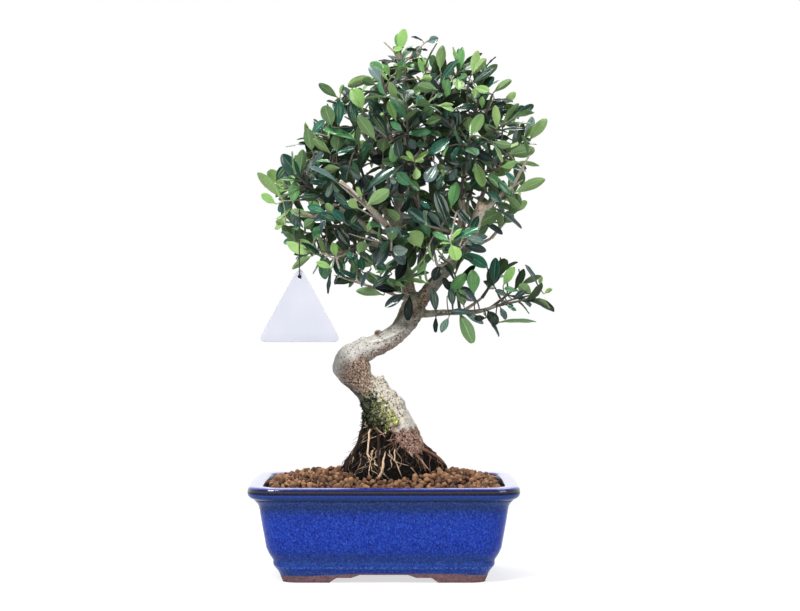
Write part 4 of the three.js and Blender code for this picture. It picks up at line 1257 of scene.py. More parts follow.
def addHairs(tangle, draw):  # fine ends that stick out
    for _ in range(mound["hairs"]):
        turn, height = 2 * math.pi * draw(), 84 + 44 * draw()
        spot = moundPoint(turn, height, -0.5)
        out = unit((math.cos(turn), math.sin(turn), 0.9 * (draw() - 0.55)))
        side = (-math.sin(turn), math.cos(turn), 0)
        long, bend = 1.5 + 5.5 * draw() ** 1.6, 1.6 * (draw() - 0.5)
        spots = []
        for t in shares(4):
            bowed = plus(plus(spot, out, long * t), side, bend * long * t * t)
            spots.append(plus(bowed, (0, 0, -1), 2.5 * t * t))
        points, faces = tube(spots, mound["hair"], 4)
        tangle.add(points, faces, marks={"tone": 0.4 * draw(), "red": 0.0, "dirt": 0.5})


def makeRoots():
    draw = stream(mound["seed"])
    tangle = Shape()
    addFrontRoots(tangle, draw)
    for i in range(mound["thick"]):  # old roots that hold the tree up
        turn = 2 * math.pi * (i + 0.6 * draw()) / mound["thick"]
        red = 0.8 if math.cos(turn) > 0.5 and draw() > 0.3 else 0.0
        start, end = 124 - 10 * draw(), 78 + 8 * draw()
        radii, tone = (1.3 + 0.9 * draw(), 0.8 + 0.4 * draw()), 0.2 + 0.3 * draw()
        addRoot(tangle, draw, turn, start, end, radii, tone, 0.4, 3 * (draw() - 0.5), 0.16, 9, red)
    for _ in range(mound["thin"]):
        turn = 2 * math.pi * draw()
        start = 92 + 43 * draw() ** 0.8
        fall = 8 + 24 * draw()
        end = max(start - fall, 77 + 3 * draw())
        thick = 0.2 + 0.36 * draw() ** 2.6
        tone = draw() ** 1.6
        red = 0.7 if math.cos(turn) > 0.4 and start > 108 and draw() > 0.4 else 0.0
        tone *= 0.6 + 0.4 * fade(thick, 0.3, 0.5)
        lift, slant = 1.0 + 1.3 * draw(), 14 * (draw() - 0.5)
        addRoot(tangle, draw, turn, start, end, (thick, thick * 0.5), tone, lift, slant, 0.8, 5, red)
    addHairs(tangle, draw)
    print("root faces", len(tangle.faces))
    return tangle.build("bared_roots", [rootSkin], "bark")


peat = paintPeat()
rootSkin = paintRoots()
moundPiece = makeMound()
makeRoots()
print("roots spread")


# leafy shoots: the part's own, grown by the same rule, then finer twigs between them
crown = {
    "centre": (15, 0, 330), "depth": 98, "full": 2.6, "past": 0.03, "span": (118, 98, 116),
    "reach": (100, 117, 113, 113, 109, 103, 112, 91, 81, 83, 84, 88,  # from +X round by the top in even steps
              106, 117, 114, 111, 108, 104, 112, 100, 86, 82, 92, 104),
}
lowTuft = {"centre": (80, -4, 222), "reach": (58, 50, 44), "limbs": ("lowRight", "lowRightUp")}
shoot = {
    "length": (17, 50), "spare": 13, "radius": (1.4, 1), "firstAt": 0.5, "lastAt": 0.86, "turn": 137.5,
    "pairs": 4, "tries": 14, "seed": 1000, "nextSeed": 41,
}
leaf = {"length": (19, 27), "width": 0.4, "fold": 0.2, "curl": 0.1, "sunk": 0.6, "tries": 8}
clearance = {"between": 1.9, "within": 0.5}


def besideTag(point):  # the room that the tag takes, hanging in front of the crown
    x, y, z = thread["at"]
    across = abs(point[0] - x)
    low = z - thread["drop"] + tag["holeDrop"] + 3
    if point[1] > y + 6:
        return False
    return across < 0.5 * tag["width"] + 3 if point[2] < low else across < 4 and point[2] < z + 4


class Space:  # points already taken, each with a radius and an owner
    def __init__(self):
        self.cells, self.size = {}, 6

    def key(self, point):
        return tuple(math.floor(v / self.size) for v in point)

    def add(self, point, radius, owner):
        self.cells.setdefault(self.key(point), []).append((point, radius, owner))

    def clear(self, point, radius, owner, between=clearance["between"], within=clearance["within"]):
        if besideTag(point):
            return False
        i, j, k = self.key(point)
        for a in (i - 1, i, i + 1):
            for b in (j - 1, j, j + 1):
                for c in (k - 1, k, k + 1):
                    for other, taken, whose in self.cells.get((a, b, c), ()):
                        if math.dist(other, point) < taken + radius + (within if whose == owner else between):
                            return False
        return True


def leafPoint(one, t):  # on a leaf's middle line, which curls back
    spot = plus(one["base"], one["along"], one["length"] * t)
    return plus(spot, one["normal"], -leaf["curl"] * one["length"] * t * t)


def leafHalf(one, t):
    return 0.5 * one["width"] * max(math.sin(math.pi * min(max(t, 0), 1) ** 1.25), 0.0) ** 0.7


def leafSamples(one):
    side = cross(one["along"], one["normal"])
    samples = []
    for t in (0.25, 0.4, 0.55, 0.7, 0.85, 0.98):
        middle, half = leafPoint(one, t), 0.9 * leafHalf(one, t)
        for s in (-1, 0, 1):
            samples.append(plus(plus(middle, side, s * half), one["normal"], abs(s) * leaf["fold"] * half))
    return samples


def crossAxes(along):  # two directions square to a line and to each other, the first one level
    level = cross(along, (0, 0, 1))
    if size(level) < 0.15:
        level = cross(along, (1, 0, 0))
    level = unit(level)
    return level, unit(cross(level, along))


def depthInCrown(point):  # 1 at the crown's middle, 0 at its outside
    x, y, z = minus(point, crown["centre"])
    steps = len(crown["reach"])
    turn = (math.atan2(z, x) / (2 * math.pi) + 1) * steps
    first, second = (crown["reach"][(math.floor(turn) + k) % steps] for k in (0, 1))
    out, back = math.hypot(x, z) / mix(first, second, turn % 1), abs(y) / crown["depth"]
    return 1 - (out ** crown["full"] + back ** crown["full"]) ** (1 / crown["full"])


def depthInTuft(point):
    return 1 - size([(p - c) / r for p, c, r in zip(point, lowTuft["centre"], lowTuft["reach"])])


def depthInside(point):
    return max(depthInCrown(point), depthInTuft(point))


def withinTufts(point):
    return depthInside(point) > -crown["past"]


def roomFor(base, way, depth):
    length = shoot["length"][1]
    while length >= shoot["length"][0] and depth(plus(base, way, length + shoot["spare"])) < 0:
        length -= 2
    return length


def placeShoot(name, at, turn, draw, space, owner):
    curve = limbs[name]["curve"]
    base, along = curve.at(at), curve.way(at)
    level, steep = crossAxes(along)
    low = name in lowTuft["limbs"]
    outward = unit(minus(base, (lowTuft if low else crown)["centre"]))
    for attempt in range(shoot["tries"]):
        angle = turn + (draw() - 0.5) * (0.5 + 0.5 * attempt)
        radial = plus(scaled(level, math.cos(angle)), steep, math.sin(angle))
        way = scaled(along, 0.45 if at < 1 else 1.6)
        way = plus(way, radial, 1 if at < 1 else 0.25 + 0.1 * attempt)
        way = unit(plus(plus(way, outward, 0.55), (0, 0, 1), 0.3))
        length = roomFor(base, way, depthInTuft if low else depthInCrown)
        if length < shoot["length"][0]:
            continue
        made = {"base": base, "along": way, "tip": plus(base, way, length)}
        if all(space.clear(toward(base, made["tip"], t), 2.4, owner) for t in shares(12, 0.22, 1)):
            for t in shares(16):
                space.add(toward(base, made["tip"], t), 1, owner)
            return made
    return None


def leafAt(base, along, far, turn, wander, draws, radius, shorter):  # one leaf of a pair on a stem
    level, steep = crossAxes(along)
    lean = mix(1.05, 0.5, far) + (draws[0] - 0.5) * 0.5
    length = mix(*leaf["length"], draws[1]) * shorter
    outward = unit(minus(base, crown["centre"]))
    lateral = plus(scaled(level, math.cos(turn + wander)), steep, math.sin(turn + wander))
    way = unit(plus(scaled(along, math.cos(lean)), lateral, math.sin(lean)))
    facing = plus(scaled(along, math.sin(lean)), lateral, -math.cos(lean))
    facing = plus(plus(facing, (0, 0, 1), 0.7), outward, 0.35)
    facing = unit(plus(facing, way, -dot(facing, way)))
    return {
        "base": plus(base, lateral, math.sqrt(0.5) * radius - leaf["sunk"]), "along": way, "normal": facing,
        "length": length, "width": length * leaf["width"] * (0.88 + 0.24 * draws[2]), "far": far,
    }


def placeLeaves(made, draw, space, owner):
    leaves = []
    for pair in range(shoot["pairs"]):
        far = pair / (shoot["pairs"] - 1)
        share = mix(0.34, 0.97, far)
        base = toward(made["base"], made["tip"], share)
        for side in (0, math.pi):
            for attempt in range(leaf["tries"]):
                wander = (draw() - 0.5) * (0.3 + 0.25 * attempt)
                turn = math.pi / 4 + pair * math.pi / 2 + side
                draws = (draw(), draw(), draw())
                radius, shorter = mix(*shoot["radius"], share), 1 - 0.03 * attempt
                one = leafAt(base, made["along"], far, turn, wander, draws, radius, shorter)
                samples = leafSamples(one)
                if withinTufts(leafPoint(one, 1)) and all(space.clear(p, 0.5, owner) for p in samples):
                    for p in samples:
                        space.add(p, 0.5, owner)
                    leaves.append(one)
                    break
    return leaves


def growShoots(space):
    def fill(curve, radiusAt, steps):
        for t in shares(steps):
            space.add(curve.at(t), radiusAt(t), "tree")

    fill(trunkCurve, trunkRadius, 60)
    for limb in limbs.values():
        fill(limb["curve"], lambda t: limbRadius(limb, t), 40)
    shoots = []
    for name, limb in limbs.items():
        pruned = limb.get("pruned", False)
        lastAt = 0.8 if pruned else shoot["lastAt"]
        places = shares(max(limb["shoots"] - 1, 1), shoot["firstAt"], lastAt)[: limb["shoots"]]
        if not pruned:
            places.append(1)
        for i, at in enumerate(places):
            draw = stream(shoot["seed"] + shoot["nextSeed"] * len(shoots))
            turn = i * math.radians(shoot["turn"]) + len(shoots)
            owner = "shoot_%s_%d" % (name, i + 1)
            made = placeShoot(name, at, turn, draw, space, owner)
            shoots.append({"name": owner, "limb": name, "made": made, "draw": draw})
    shoots = [one for one in shoots if one["made"]]
    for one in shoots:
        one["leaves"] = placeLeaves(one["made"], one["draw"], space, one["name"])
    return shoots


space = Space()
shoots = growShoots(space)
print("shoots", len(shoots), "leaves", sum(len(one["leaves"]) for one in shoots))

# sprigs set where they show in the main view: their limb, depth y, twig and how thick it is, and
# their leaves: base, tip and width in pixels of the view, how young each is and what shows if not the top
# a "black" leaf is painted darker as painted shade, and a "grey" one gets a grey-blue painted reflection of
# the sky
sprigs = [
    ("stem", 0, [(405, 86), (405, 68), (397, 55), (384, 42)], 1.3, [
        (400, 51, 404, 29, 12, 0.85), (404, 47, 394, 50, 6, 0.8), (397, 62, 379, 59, 4, 0.0, "black"),
        (390, 77, 383, 61, 7, 0.7), (389, 81, 373, 69, 8, 0.7, "under"),
        (403, 78, 412, 83, 5, 0.0, "black"), (405, 74, 418, 71, 6, 0.1, "black")]),
    ("stem", 0, [(405, 62), (416, 51), (428, 40)], 1.1, [
        (427, 42, 438, 38, 8, 0.4, "grey"), (422, 40, 412, 36, 3, 0.0, "black"),
        (418, 50, 407, 49, 4, 0.1, "black"), (421, 49, 427, 50, 3, 0.1, "black"),
        (418, 56, 424, 73, 6, 0.7), (421, 56, 429, 68, 5, 0.5, "under")]),
    ("topRight", -16, [(443, 101), (441, 84), (441, 71)], 1.0, [
        (440, 71, 442, 45, 11, 0.55, "under"), (439, 85, 456, 58, 7, 0.15), (448, 101, 446, 77, 9, 0.6)]),
    ("topRight", -14, [(450, 98), (456, 86), (458, 75)], 0.9, [
        (458, 75, 461, 47, 8, 0.6), (456, 62, 454, 47, 4, 0.8)]),
    ("frontTop", -50, [(425, 110), (430, 100), (434, 92)], 0.9, [
        (438, 90, 417, 85, 11, 0.3, "under")]),
    ("rightTop", -12, [(469, 112), (467, 90), (471, 75)], 1.0, [
        (472, 75, 477, 50, 9, 0.75, "under"), (472, 74, 486, 58, 9, 0.7, "under"),
        (467, 88, 492, 66, 6, 0.0, "grey"), (486, 66, 495, 56, 2.5, 0.1, "black"),
        (453, 109, 476, 105, 8, 0.1), (482, 108, 482, 97, 6, 0.75), (469, 131, 468, 117, 14, 0.4, "under"),
        (497, 130, 496, 105, 8, 0.75, "under")]),
    ("rightTop", -8, [(474, 122), (486, 112), (494, 98)], 0.9, [
        (493, 93, 511, 79, 7, 0.5, "under"), (494, 99, 513, 100, 2.5, 0.0, "black"),
        (491, 106, 506, 104, 7, 0.0, "black")]),
    ("right", -6, [(500, 148), (502, 138), (502.5, 128)], 0.9, [
        (502, 127, 517, 102, 7, 0.5, "under"), (503, 127, 523, 105, 9, 0.1),
        (500, 130, 524, 127, 5, 0.1, "grey"), (498, 133, 484, 125, 8, 0.2, "under")]),
    ("right", 0, [(500, 160), (514, 150), (529, 141)], 0.9, [
        (529, 141, 546, 118, 11, 0.6, "under"), (507, 155, 535, 149, 13, 0.35, "under"),
        (515, 162, 540, 164, 5, 0.7, "under")]),
    ("rightTwig", -12, [(512.5, 186.5), (518, 183), (523, 180)], 1.2, [
        (503, 203, 488, 192, 8, 0.2), (512, 196, 500, 182, 8, 0.45), (519, 186, 506, 172, 7, 0.3),
        (514, 193, 545, 178, 11, 0.5, "under"), (508, 192, 489, 174, 9, 0.6),
        (506, 195, 521, 210, 9, 0.4, "under"), (495, 208, 523, 226, 6, 0.1, "grey")]),
    ("rightLow", -4, [(474, 244), (478, 232)], 1.0, [
        (474, 226, 498, 212, 15, 0.3, "under"), (476, 246, 462, 236, 9, 0.15),
        (484, 222, 503, 233, 6, 0.1, "grey"), (462, 245, 486, 250, 9, 0.1, "grey"),
        (469, 240, 487, 236, 8, 0.5, "grey")]),
    ("frontRight", -58, [(456, 214), (453, 228), (450, 242)], 1.0, [
        (450, 242, 478, 226, 5, 0.4), (450, 241, 461, 228, 4, 0.95), (450, 241, 433, 232, 7, 0.55),
        (450, 243, 440, 243, 3, 0.95), (451, 244, 457, 260, 14, 0.95), (449, 228, 437, 191, 12, 0.04),
        (451, 208, 456, 182, 13, 0.6)]),
    ("leader", -30, [(440, 266), (434, 252), (429, 239)], 1.7, [
        (421, 248, 411, 231, 18, 0.85, "under"), (430, 237, 421, 218, 9, 0.5),
        (440, 264, 434, 280, 11, 0.0, "black")]),
    ("leader", -42, [(458, 250), (462, 240), (466, 229)], 1.1, [
        (471, 226, 458, 209, 10, 0.1), (466, 238, 449, 224, 9, 0.3), (470, 235, 478, 216, 8, 0.15),
        (463, 245, 444, 249, 8, 0.1, "grey"), (464, 236, 484, 241, 8, 0.3, "grey"),
        (458, 253, 474, 260, 7, 0.1)]),
    ("front", -64, [(419, 208), (416, 184), (414.5, 161)], 1.1, [
        (414, 161, 407, 151, 5, 0.95), (414, 161, 401, 156, 4, 0.95), (415, 161, 428, 151, 5, 0.95),
        (415, 162, 424, 159, 6, 0.8, "under"), (416, 167, 417, 180, 9, 0.6, "under"),
        (417, 190, 405, 196, 4, 0.1), (418, 200, 430, 208, 5, 0.2)]),
    ("middle", -58, [(424, 160), (430, 148)], 0.9, [
        (437, 164, 426, 181, 14, 0.3, "grey"), (426, 157, 448, 139, 11, 0.25)]),
    ("frontTop", -58, [(398, 134), (402, 132)], 0.9, [
        (406, 134, 431, 131, 8.5, 0.45), (403, 131, 391, 122, 8, 0.45), (396, 121, 389, 101, 9.7, 0.8),
        (388, 137, 372, 114, 14, 0.0), (376, 141, 358, 115, 13, 0.35, "under")]),
    ("leftTop", -18, [(352, 118), (343, 104), (340, 97.5)], 0.9, [
        (338, 98, 319, 83, 9.2, 0.25, "under"), (340, 96, 343, 84, 4.6, 0.7, "under"),
        (342, 98, 361, 81, 3.5, 0.05, "black")]),
    ("leftTop", -34, [(362, 124), (363, 112)], 0.9, [
        (363, 110, 353, 88, 15, 0.85), (376, 85, 362, 79, 9, 0.3, "under"), (356, 131, 351, 101, 11, 0.1),
        (339, 127, 339, 100, 11, 0.15), (332, 127, 325, 105, 15, 0.3, "under")]),
    ("leftHigh", -28, [(340, 164), (326, 161), (314, 155)], 1.0, [
        (312, 152, 308, 128, 14, 0.3, "under"), (331, 154, 313, 138, 8, 0.5, "under"),
        (358, 141, 324, 126, 7, 0.55), (337, 153, 338, 133, 15, 0.2, "under"),
        (300, 178, 302, 149, 11, 0.15, "under"), (340, 168, 323, 170, 10, 0.5, "under"),
        (334, 154, 355, 146, 6, 0.15)]),
    ("leftCut", -64, [(352, 193), (366, 205)], 0.9, [
        (366, 206, 389, 189, 13, 0.5, "under"), (362, 199, 357, 187, 4, 0.85),
        (365, 191, 396, 164, 10, 0.1), (340, 184, 311, 164, 4, 0.3, "grey")]),
    ("front", -46, [(385, 172), (383, 153)], 0.9, [
        (383, 153, 384, 138, 14, 0.4, "under"), (386, 208, 400, 220, 9, 0.4, "under")]),
    ("left", -24, [(316, 198), (300, 200), (283, 201)], 1.1, [
        (282, 199, 259, 171, 10, 0.6, "under"), (276, 181, 286, 166, 10, 0.1),
        (293, 204, 294, 182, 12, 0.6), (276, 204, 262, 194, 9, 0.8), (301, 181, 281, 177, 5, 0.6),
        (325, 195, 299, 196, 9, 0.1), (321, 212, 309, 202, 10, 0.7), (313, 217, 291, 210, 8, 0.65),
        (332, 221, 337, 207, 11, 0.0, "black"), (316, 219, 304, 227, 11, 0.15, "under"),
        (285, 225, 276, 220, 7, 0.65, "under")]),
    ("tagTwig", -51, [(343, 221), (333, 214), (323, 211)], 0.9, [
        (340, 221, 319, 213, 9, 0.1), (326, 212, 308, 206, 9, 0.25), (346, 223, 333, 210, 9, 0.2),
        (330, 214, 314, 221, 8, 0.1, "grey"), (334, 214, 326, 203, 8, 0.6, "under"),
        (350, 226, 357, 214, 8, 0.05)]),
    ("leftLow", -34, [(325, 253), (334, 258), (346, 254)], 0.9, [
        (336, 256, 333, 243, 9, 0.9), (358, 254, 365, 241, 12, 0.55, "under"),
        (332, 268, 317, 262, 7, 0.85), (324, 259, 302, 241, 6, 0.06), (313, 255, 291, 268, 7, 0.5, "under"),
        (331, 270, 326, 293, 4.5, 0.1, "black"), (340, 272, 334, 284, 3, 0.1, "black"),
        (339, 269, 356, 277, 5, 0.2, "black"), (351, 249, 337, 228, 12, 0.05),
        (326, 217, 320, 231, 6, 0.2, "grey")]),
    ("lowLeft", -36, [(360, 240), (367, 232)], 0.9, [
        (366, 232, 347, 220, 8, 0.1), (367, 232, 372, 221, 6, 0.8), (391, 256, 372, 250, 8, 0.0, "black"),
        (408, 257, 396, 279, 11, 0.0, "black"), (392, 274, 373, 286, 7, 0.05, "grey"),
        (371, 268, 360, 286, 3, 0.1, "grey")]),
    ("fork", -27, [(382, 290), (392, 291), (404, 293)], 0.9, [
        (384, 295, 356, 289, 8, 0.4, "under"), (398, 291, 376, 287, 9, 0.0, "black"),
        (406, 293, 385, 306, 9.5, 0.05, "grey"), (410, 295, 407, 320, 9.5, 0.0, "black")]),
    ("lowRight", -10, [(498, 305.5), (509, 300.5), (533, 294.5), (541, 290)], 1.1, [
        (494, 285, 495, 258, 11, 0.15), (503, 286, 514, 267, 10, 0.75),
        (538, 285, 527, 264, 5.5, 0.08, "grey"), (540, 285, 541, 276, 5, 0.6, "under"),
        (544, 294, 552, 288, 5, 0.75, "under"), (532, 295, 519, 284, 11, 0.4, "under"),
        (518, 291, 505, 288, 6, 0.5), (512, 300, 526, 289, 6, 0.05, "grey"),
        (494, 286, 484, 281, 5, 0.1, "black"), (508, 296, 496, 290, 6, 0.15, "grey"),
        (522, 296, 531, 306, 4, 0.2, "grey"), (500, 307, 506, 319, 7, 0.2, "grey"),
        (506, 305, 516, 310, 4, 0.3), (497, 322, 536, 318, 5, 0.45, "under")]),
    ("lowRight", -16, [(440, 314), (458, 313), (484, 309)], 0.9, [
        (474, 295, 473, 270, 14, 0.6), (447, 297, 465, 273, 12, 0.6), (477, 302, 458, 288, 14, 0.05),
        (436, 313, 433, 289, 9, 0.12, "grey"), (453, 307, 451, 289, 8, 0.1, "grey"),
        (464, 307, 460, 289, 11, 0.15, "under"), (478, 303, 465, 291, 7, 0.1, "grey"),
        (446, 311, 471, 311, 6, 0.15, "grey"), (450, 292, 444, 278, 7, 0.05, "black"),
        (462, 311, 484, 322, 6, 0.2, "grey"), (436, 316, 435, 332, 5, 0.1, "black"),
        (449, 317, 441, 332, 8, 0.5, "grey"), (459, 312, 474, 343, 14.5, 0.2, "under"),
        (487, 310, 497, 324, 12, 0.0, "black"), (486, 318, 475, 318, 6, 0.0, "black"),
        (484, 313, 501, 335, 4, 0.1, "grey")]),
]
inSight = [("leftCut", 0.5, 1.0), ("leader", 0.78, 1.0), ("rightTwig", 0.25, 1.0), ("lowRight", 0.45, 1.0)]
viewScale = view["pixels"][0] * view["lens"] / view["sensor"]
viewMiddle = tuple(wide / 2 for wide in view["pixels"])
sights = {}  # cells of the view in which something has to stay in sight, and how deep that lies


def fromView(across, down, y):  # the place at depth y that shows at a pixel
    eye = view["from"]
    far = (y - eye[1]) / viewScale
    return (eye[0] + (across - viewMiddle[0]) * far, y, eye[2] - (down - viewMiddle[1]) * far)


def toView(point):
    eye = view["from"]
    near = viewScale / (point[1] - eye[1])
    return ((point[0] - eye[0]) * near + viewMiddle[0], viewMiddle[1] - (point[2] - eye[2]) * near)


def keepInSight(point, reach):
    across, down = toView(point)
    around = range(-math.ceil(reach / 2), math.ceil(reach / 2) + 1)
    for i in around:
        for j in around:
            if 2 * math.hypot(i, j) <= reach + 1:
                cell = (int(across // 2) + i, int(down // 2) + j)
                sights[cell] = min(sights.get(cell, 999), point[1])


def hides(point):
    across, down = toView(point)
    return point[1] < sights.get((int(across // 2), int(down // 2)), -999) - 1.5


def shownLeaf(spec, y):
    across, down, tipAcross, tipDown, wide, tone, look = spec if len(spec) > 6 else (*spec, "top")
    base, tip = fromView(across, down, y), fromView(tipAcross, tipDown, y - 4)
    way, length = unit(minus(tip, base)), size(minus(tip, base))
    wide *= (y - view["from"][1]) / viewScale
    full = max(wide, 0.34 * length)
    turn = max(math.acos(min(wide / full, 1)), 0.3)
    facing = unit(plus((0, -1, 0), way, -dot((0, -1, 0), way)))
    side = cross(way, facing)
    side = side if side[2] > 0 else scaled(side, -1)
    top = unit(plus(scaled(facing, math.cos(turn)), side, math.sin(turn) * (-1 if look == "under" else 1)))
    for t in (0.15, 0.35, 0.55, 0.75, 0.92):
        keepInSight(plus(base, way, length * t), 0.36 * spec[4])
    return {
        "base": base, "along": way, "normal": scaled(top, -1) if look == "under" else top, "length": length,
        # a grey leaf gets the grey-blue painted reflection of the sky
        "width": full / blade["wide"], "far": 0.5, "tone": tone, "cool": float(look == "grey"),
        # a black leaf is painted into shade
        "inside": 0.8 if look == "black" else 0.0,
    }


def placeSprigs(space, shoots):
    made = []
    for name, depth, twig, thick, leaves in sprigs:
        spots = [fromView(across, down, depth) for across, down in twig]
        near = [limbs[name]["curve"].at(t) for t in shares(30, 0.3, 1)]
        for one in shoots:
            if one["limb"] == name:
                near += [toward(one["made"]["base"], one["made"]["tip"], t) for t in shares(8, 0.1, 0.9)]
        start = min(near, key=lambda p: math.dist(p, spots[0]))
        if math.dist(start, spots[0]) > 2:
            spots = [start] + spots
        line = Line(spots)
        stem = [line.at(t) for t in shares(max(6, int(line.length() / 3)))]
        blades = [shownLeaf(spec, depth) for spec in leaves]
        stalks = []
        for one in blades:
            join = min(stem, key=lambda p: math.dist(p, one["base"]))
            if math.dist(join, one["base"]) > 0.7:
                bend = scaled(plus(join, one["base"]), 0.5)
                bend = plus(bend, one["along"], -0.12 * math.dist(join, one["base"]))
                stalks.append([bent(join, bend, one["base"], t) for t in shares(6)])
            for p in leafSamples(one):
                space.add(p, 0.5, "sprig")
        for p in stem:
            space.add(p, 0.8, "sprig")
        made.append({"limb": name, "stem": stem, "radii": (thick, 0.55), "stalks": stalks, "leaves": blades})
    for name, start, end in inSight:
        for t in shares(24, start, end):
            keepInSight(limbs[name]["curve"].at(t), 1.3 * limbRadius(limbs[name], t))
    return made


filler = {
    "seed": 71, "tries": 4200, "spacing": (17, 24), "depth": (0.1, 0.7), "reach": (14, 62), "pairEvery": 8,
    "length": (15, 25), "between": 0.7, "within": 0.4, "leafTries": 6, "radius": (1.0, 0.5),
    # where the sky shows through: x, z, half the width and half the height, and the leaves' room round it
    "windows": [(-24, 333, 9, 6), (-13, 326, 7, 5), (58, 300, 6, 5)], "beside": 9,
}


def twigStarts(shoots):  # places from which a twig can grow, the way there and the limb
    starts = []
    for name, limb in limbs.items():
        starts += [(limb["curve"].at(t), limb["curve"].way(t), name) for t in shares(26, 0.3, 1)]
    for one in shoots:
        base, tip = one["made"]["base"], one["made"]["tip"]
        starts += [(toward(base, tip, t), one["made"]["along"], one["limb"]) for t in shares(6, 0.35, 0.95)]
    return starts


def isEmpty(aim, aims):  # whether a place in the crown is one that a twig should reach
    depth = depthInCrown(aim)
    if not filler["depth"][0] < depth < filler["depth"][1] or besideTag(aim):
        return False
    for x, z, wide, high in filler["windows"]:
        if math.hypot((aim[0] - x) / (wide + filler["beside"]), (aim[2] - z) / (high + filler["beside"])) < 1:
            return False
    room = mix(*filler["spacing"], fade(depth, 0.1, 0.6))
    return not any(abs(p[0] - aim[0]) < room and math.dist(p, aim) < room for p in aims)


def growTwigs(space, shoots):  # finer twigs that reach for empty places in the crown
    draw = stream(filler["seed"])
    starts = twigStarts(shoots)
    near = findable([start for start, _, _ in starts])
    aims = [one["made"]["tip"] for one in shoots]
    twigs = []
    for _ in range(filler["tries"]):
        draw()  # the first number of each four is passed over
        aim = tuple(m + (2 * draw() - 1) * r for m, r in zip(crown["centre"], crown["span"]))
        if not isEmpty(aim, aims):
            continue
        for _, i, far in near.find_n(aim, 14):
            start, way, name = starts[i]
            if name in lowTuft["limbs"] or not filler["reach"][0] < far < filler["reach"][1]:
                continue
            if dot(unit(minus(aim, start)), way) < 0.05 or besideTag(start):
                continue
            bend = plus(plus(start, way, 0.42 * far), (0, 0, 1), 0.08 * far)
            spots = [bent(start, bend, aim, t) for t in shares(max(5, int(far / 5)))]
            if all(space.clear(p, 0.7, name, 0.15, 0.0) and not hides(p) for p in spots[2:]):
                owner = "twig_%d" % len(twigs)
                twigs.append({"stem": spots, "limb": name, "name": owner, "radii": filler["radius"]})
                for p in spots[1:]:
                    space.add(p, 0.6, owner)
                aims.append(aim)
                break
    for one in twigs:
        one["leaves"] = leafTwig(one["stem"], one["name"], draw, space)
    return twigs


def leafTwig(spots, name, draw, space):  # crossed pairs of leaves along a twig
    leaves = []
    length = sum(size(minus(b, a)) for a, b in zip(spots, spots[1:]))
    pairs = max(2, round(0.74 * length / filler["pairEvery"]))
    first = 1.6 * draw()
    for pair in range(pairs + 1):
        far = pair / pairs
        share = mix(0.28, 1.0, far) * (len(spots) - 1)
        i = min(int(share), len(spots) - 2)
        base = toward(spots[i], spots[i + 1], share - i)
        along = unit(minus(spots[i + 1], spots[i]))
        for side in (0, math.pi):
            for attempt in range(filler["leafTries"]):
                turn, wander = first + pair * math.pi / 2 + side, (draw() - 0.5) * (0.4 + 0.35 * attempt)
                draws, short = (draw(), draw(), draw()), mix(*filler["length"], draw()) / 24
                radius, short = mix(*filler["radius"], far), short * (1 - 0.06 * attempt)
                leafy = leafAt(base, along, far, turn, wander, draws, radius, short)
                samples = leafSamples(leafy)
                if not withinTufts(leafPoint(leafy, 1)) or any(hides(p) for p in samples):
                    continue
                if all(space.clear(p, 0.4, name, filler["between"], filler["within"]) for p in samples):
                    for p in samples:
                        space.add(p, 0.4, name)
                    leaves.append(leafy)
                    break
    return leaves


blade = {
    "seed": 401,
    "stations": (0, 0.07, 0.14, 0.22, 0.32, 0.44, 0.56, 0.68, 0.79, 0.88, 0.945, 0.985, 1),
    "across": (-1, -0.58, -0.2, 0, 0.2, 0.58, 1), "below": (-0.58, 0, 0.58),
    "stalk": 0.5, "thick": 0.42, "rib": 0.3, "wide": 1.06, "widest": 0.56, "base": 0.95, "tip": (0.38, 0.66),
    "wave": 0.22,
    "old": (8, 34, 32), "dark": (30, 98, 86), "green": (68, 131, 88), "fresh": (138, 180, 104),
    # cool: the grey-blue of a painted reflection of the sky
    "bud": (146, 182, 104), "ribAndHighlightPale": (158, 188, 132), "cool": [(40, 58, 66), (112, 130, 132)],
    "under": [(100, 132, 90), (172, 206, 134)], "underDull": (70, 92, 62), "underVein": (178, 190, 140),
    "shadow": (4, 10, 15), "twigGreen": (132, 136, 92), "twigPale": (180, 169, 154), "twigDark": (96, 84, 74),
    "twigShadow": (26, 24, 24),
}


def bladeHalf(one, t, blunt):  # half a leaf's width at a share of its length
    s = max((t - 0.06) / 0.94, 0.0)
    if s < blade["widest"]:
        wide = math.sin(0.5 * math.pi * s / blade["widest"]) ** blade["base"]
    else:
        wide = max(math.cos(0.5 * math.pi * (s - blade["widest"]) / (1 - blade["widest"])), 0.0) ** blunt
    stalk = blade["stalk"] * (1 - fade(t, 0.3, 0.6))
    return max(0.5 * one["width"] * blade["wide"] * wide, stalk, 0.08)


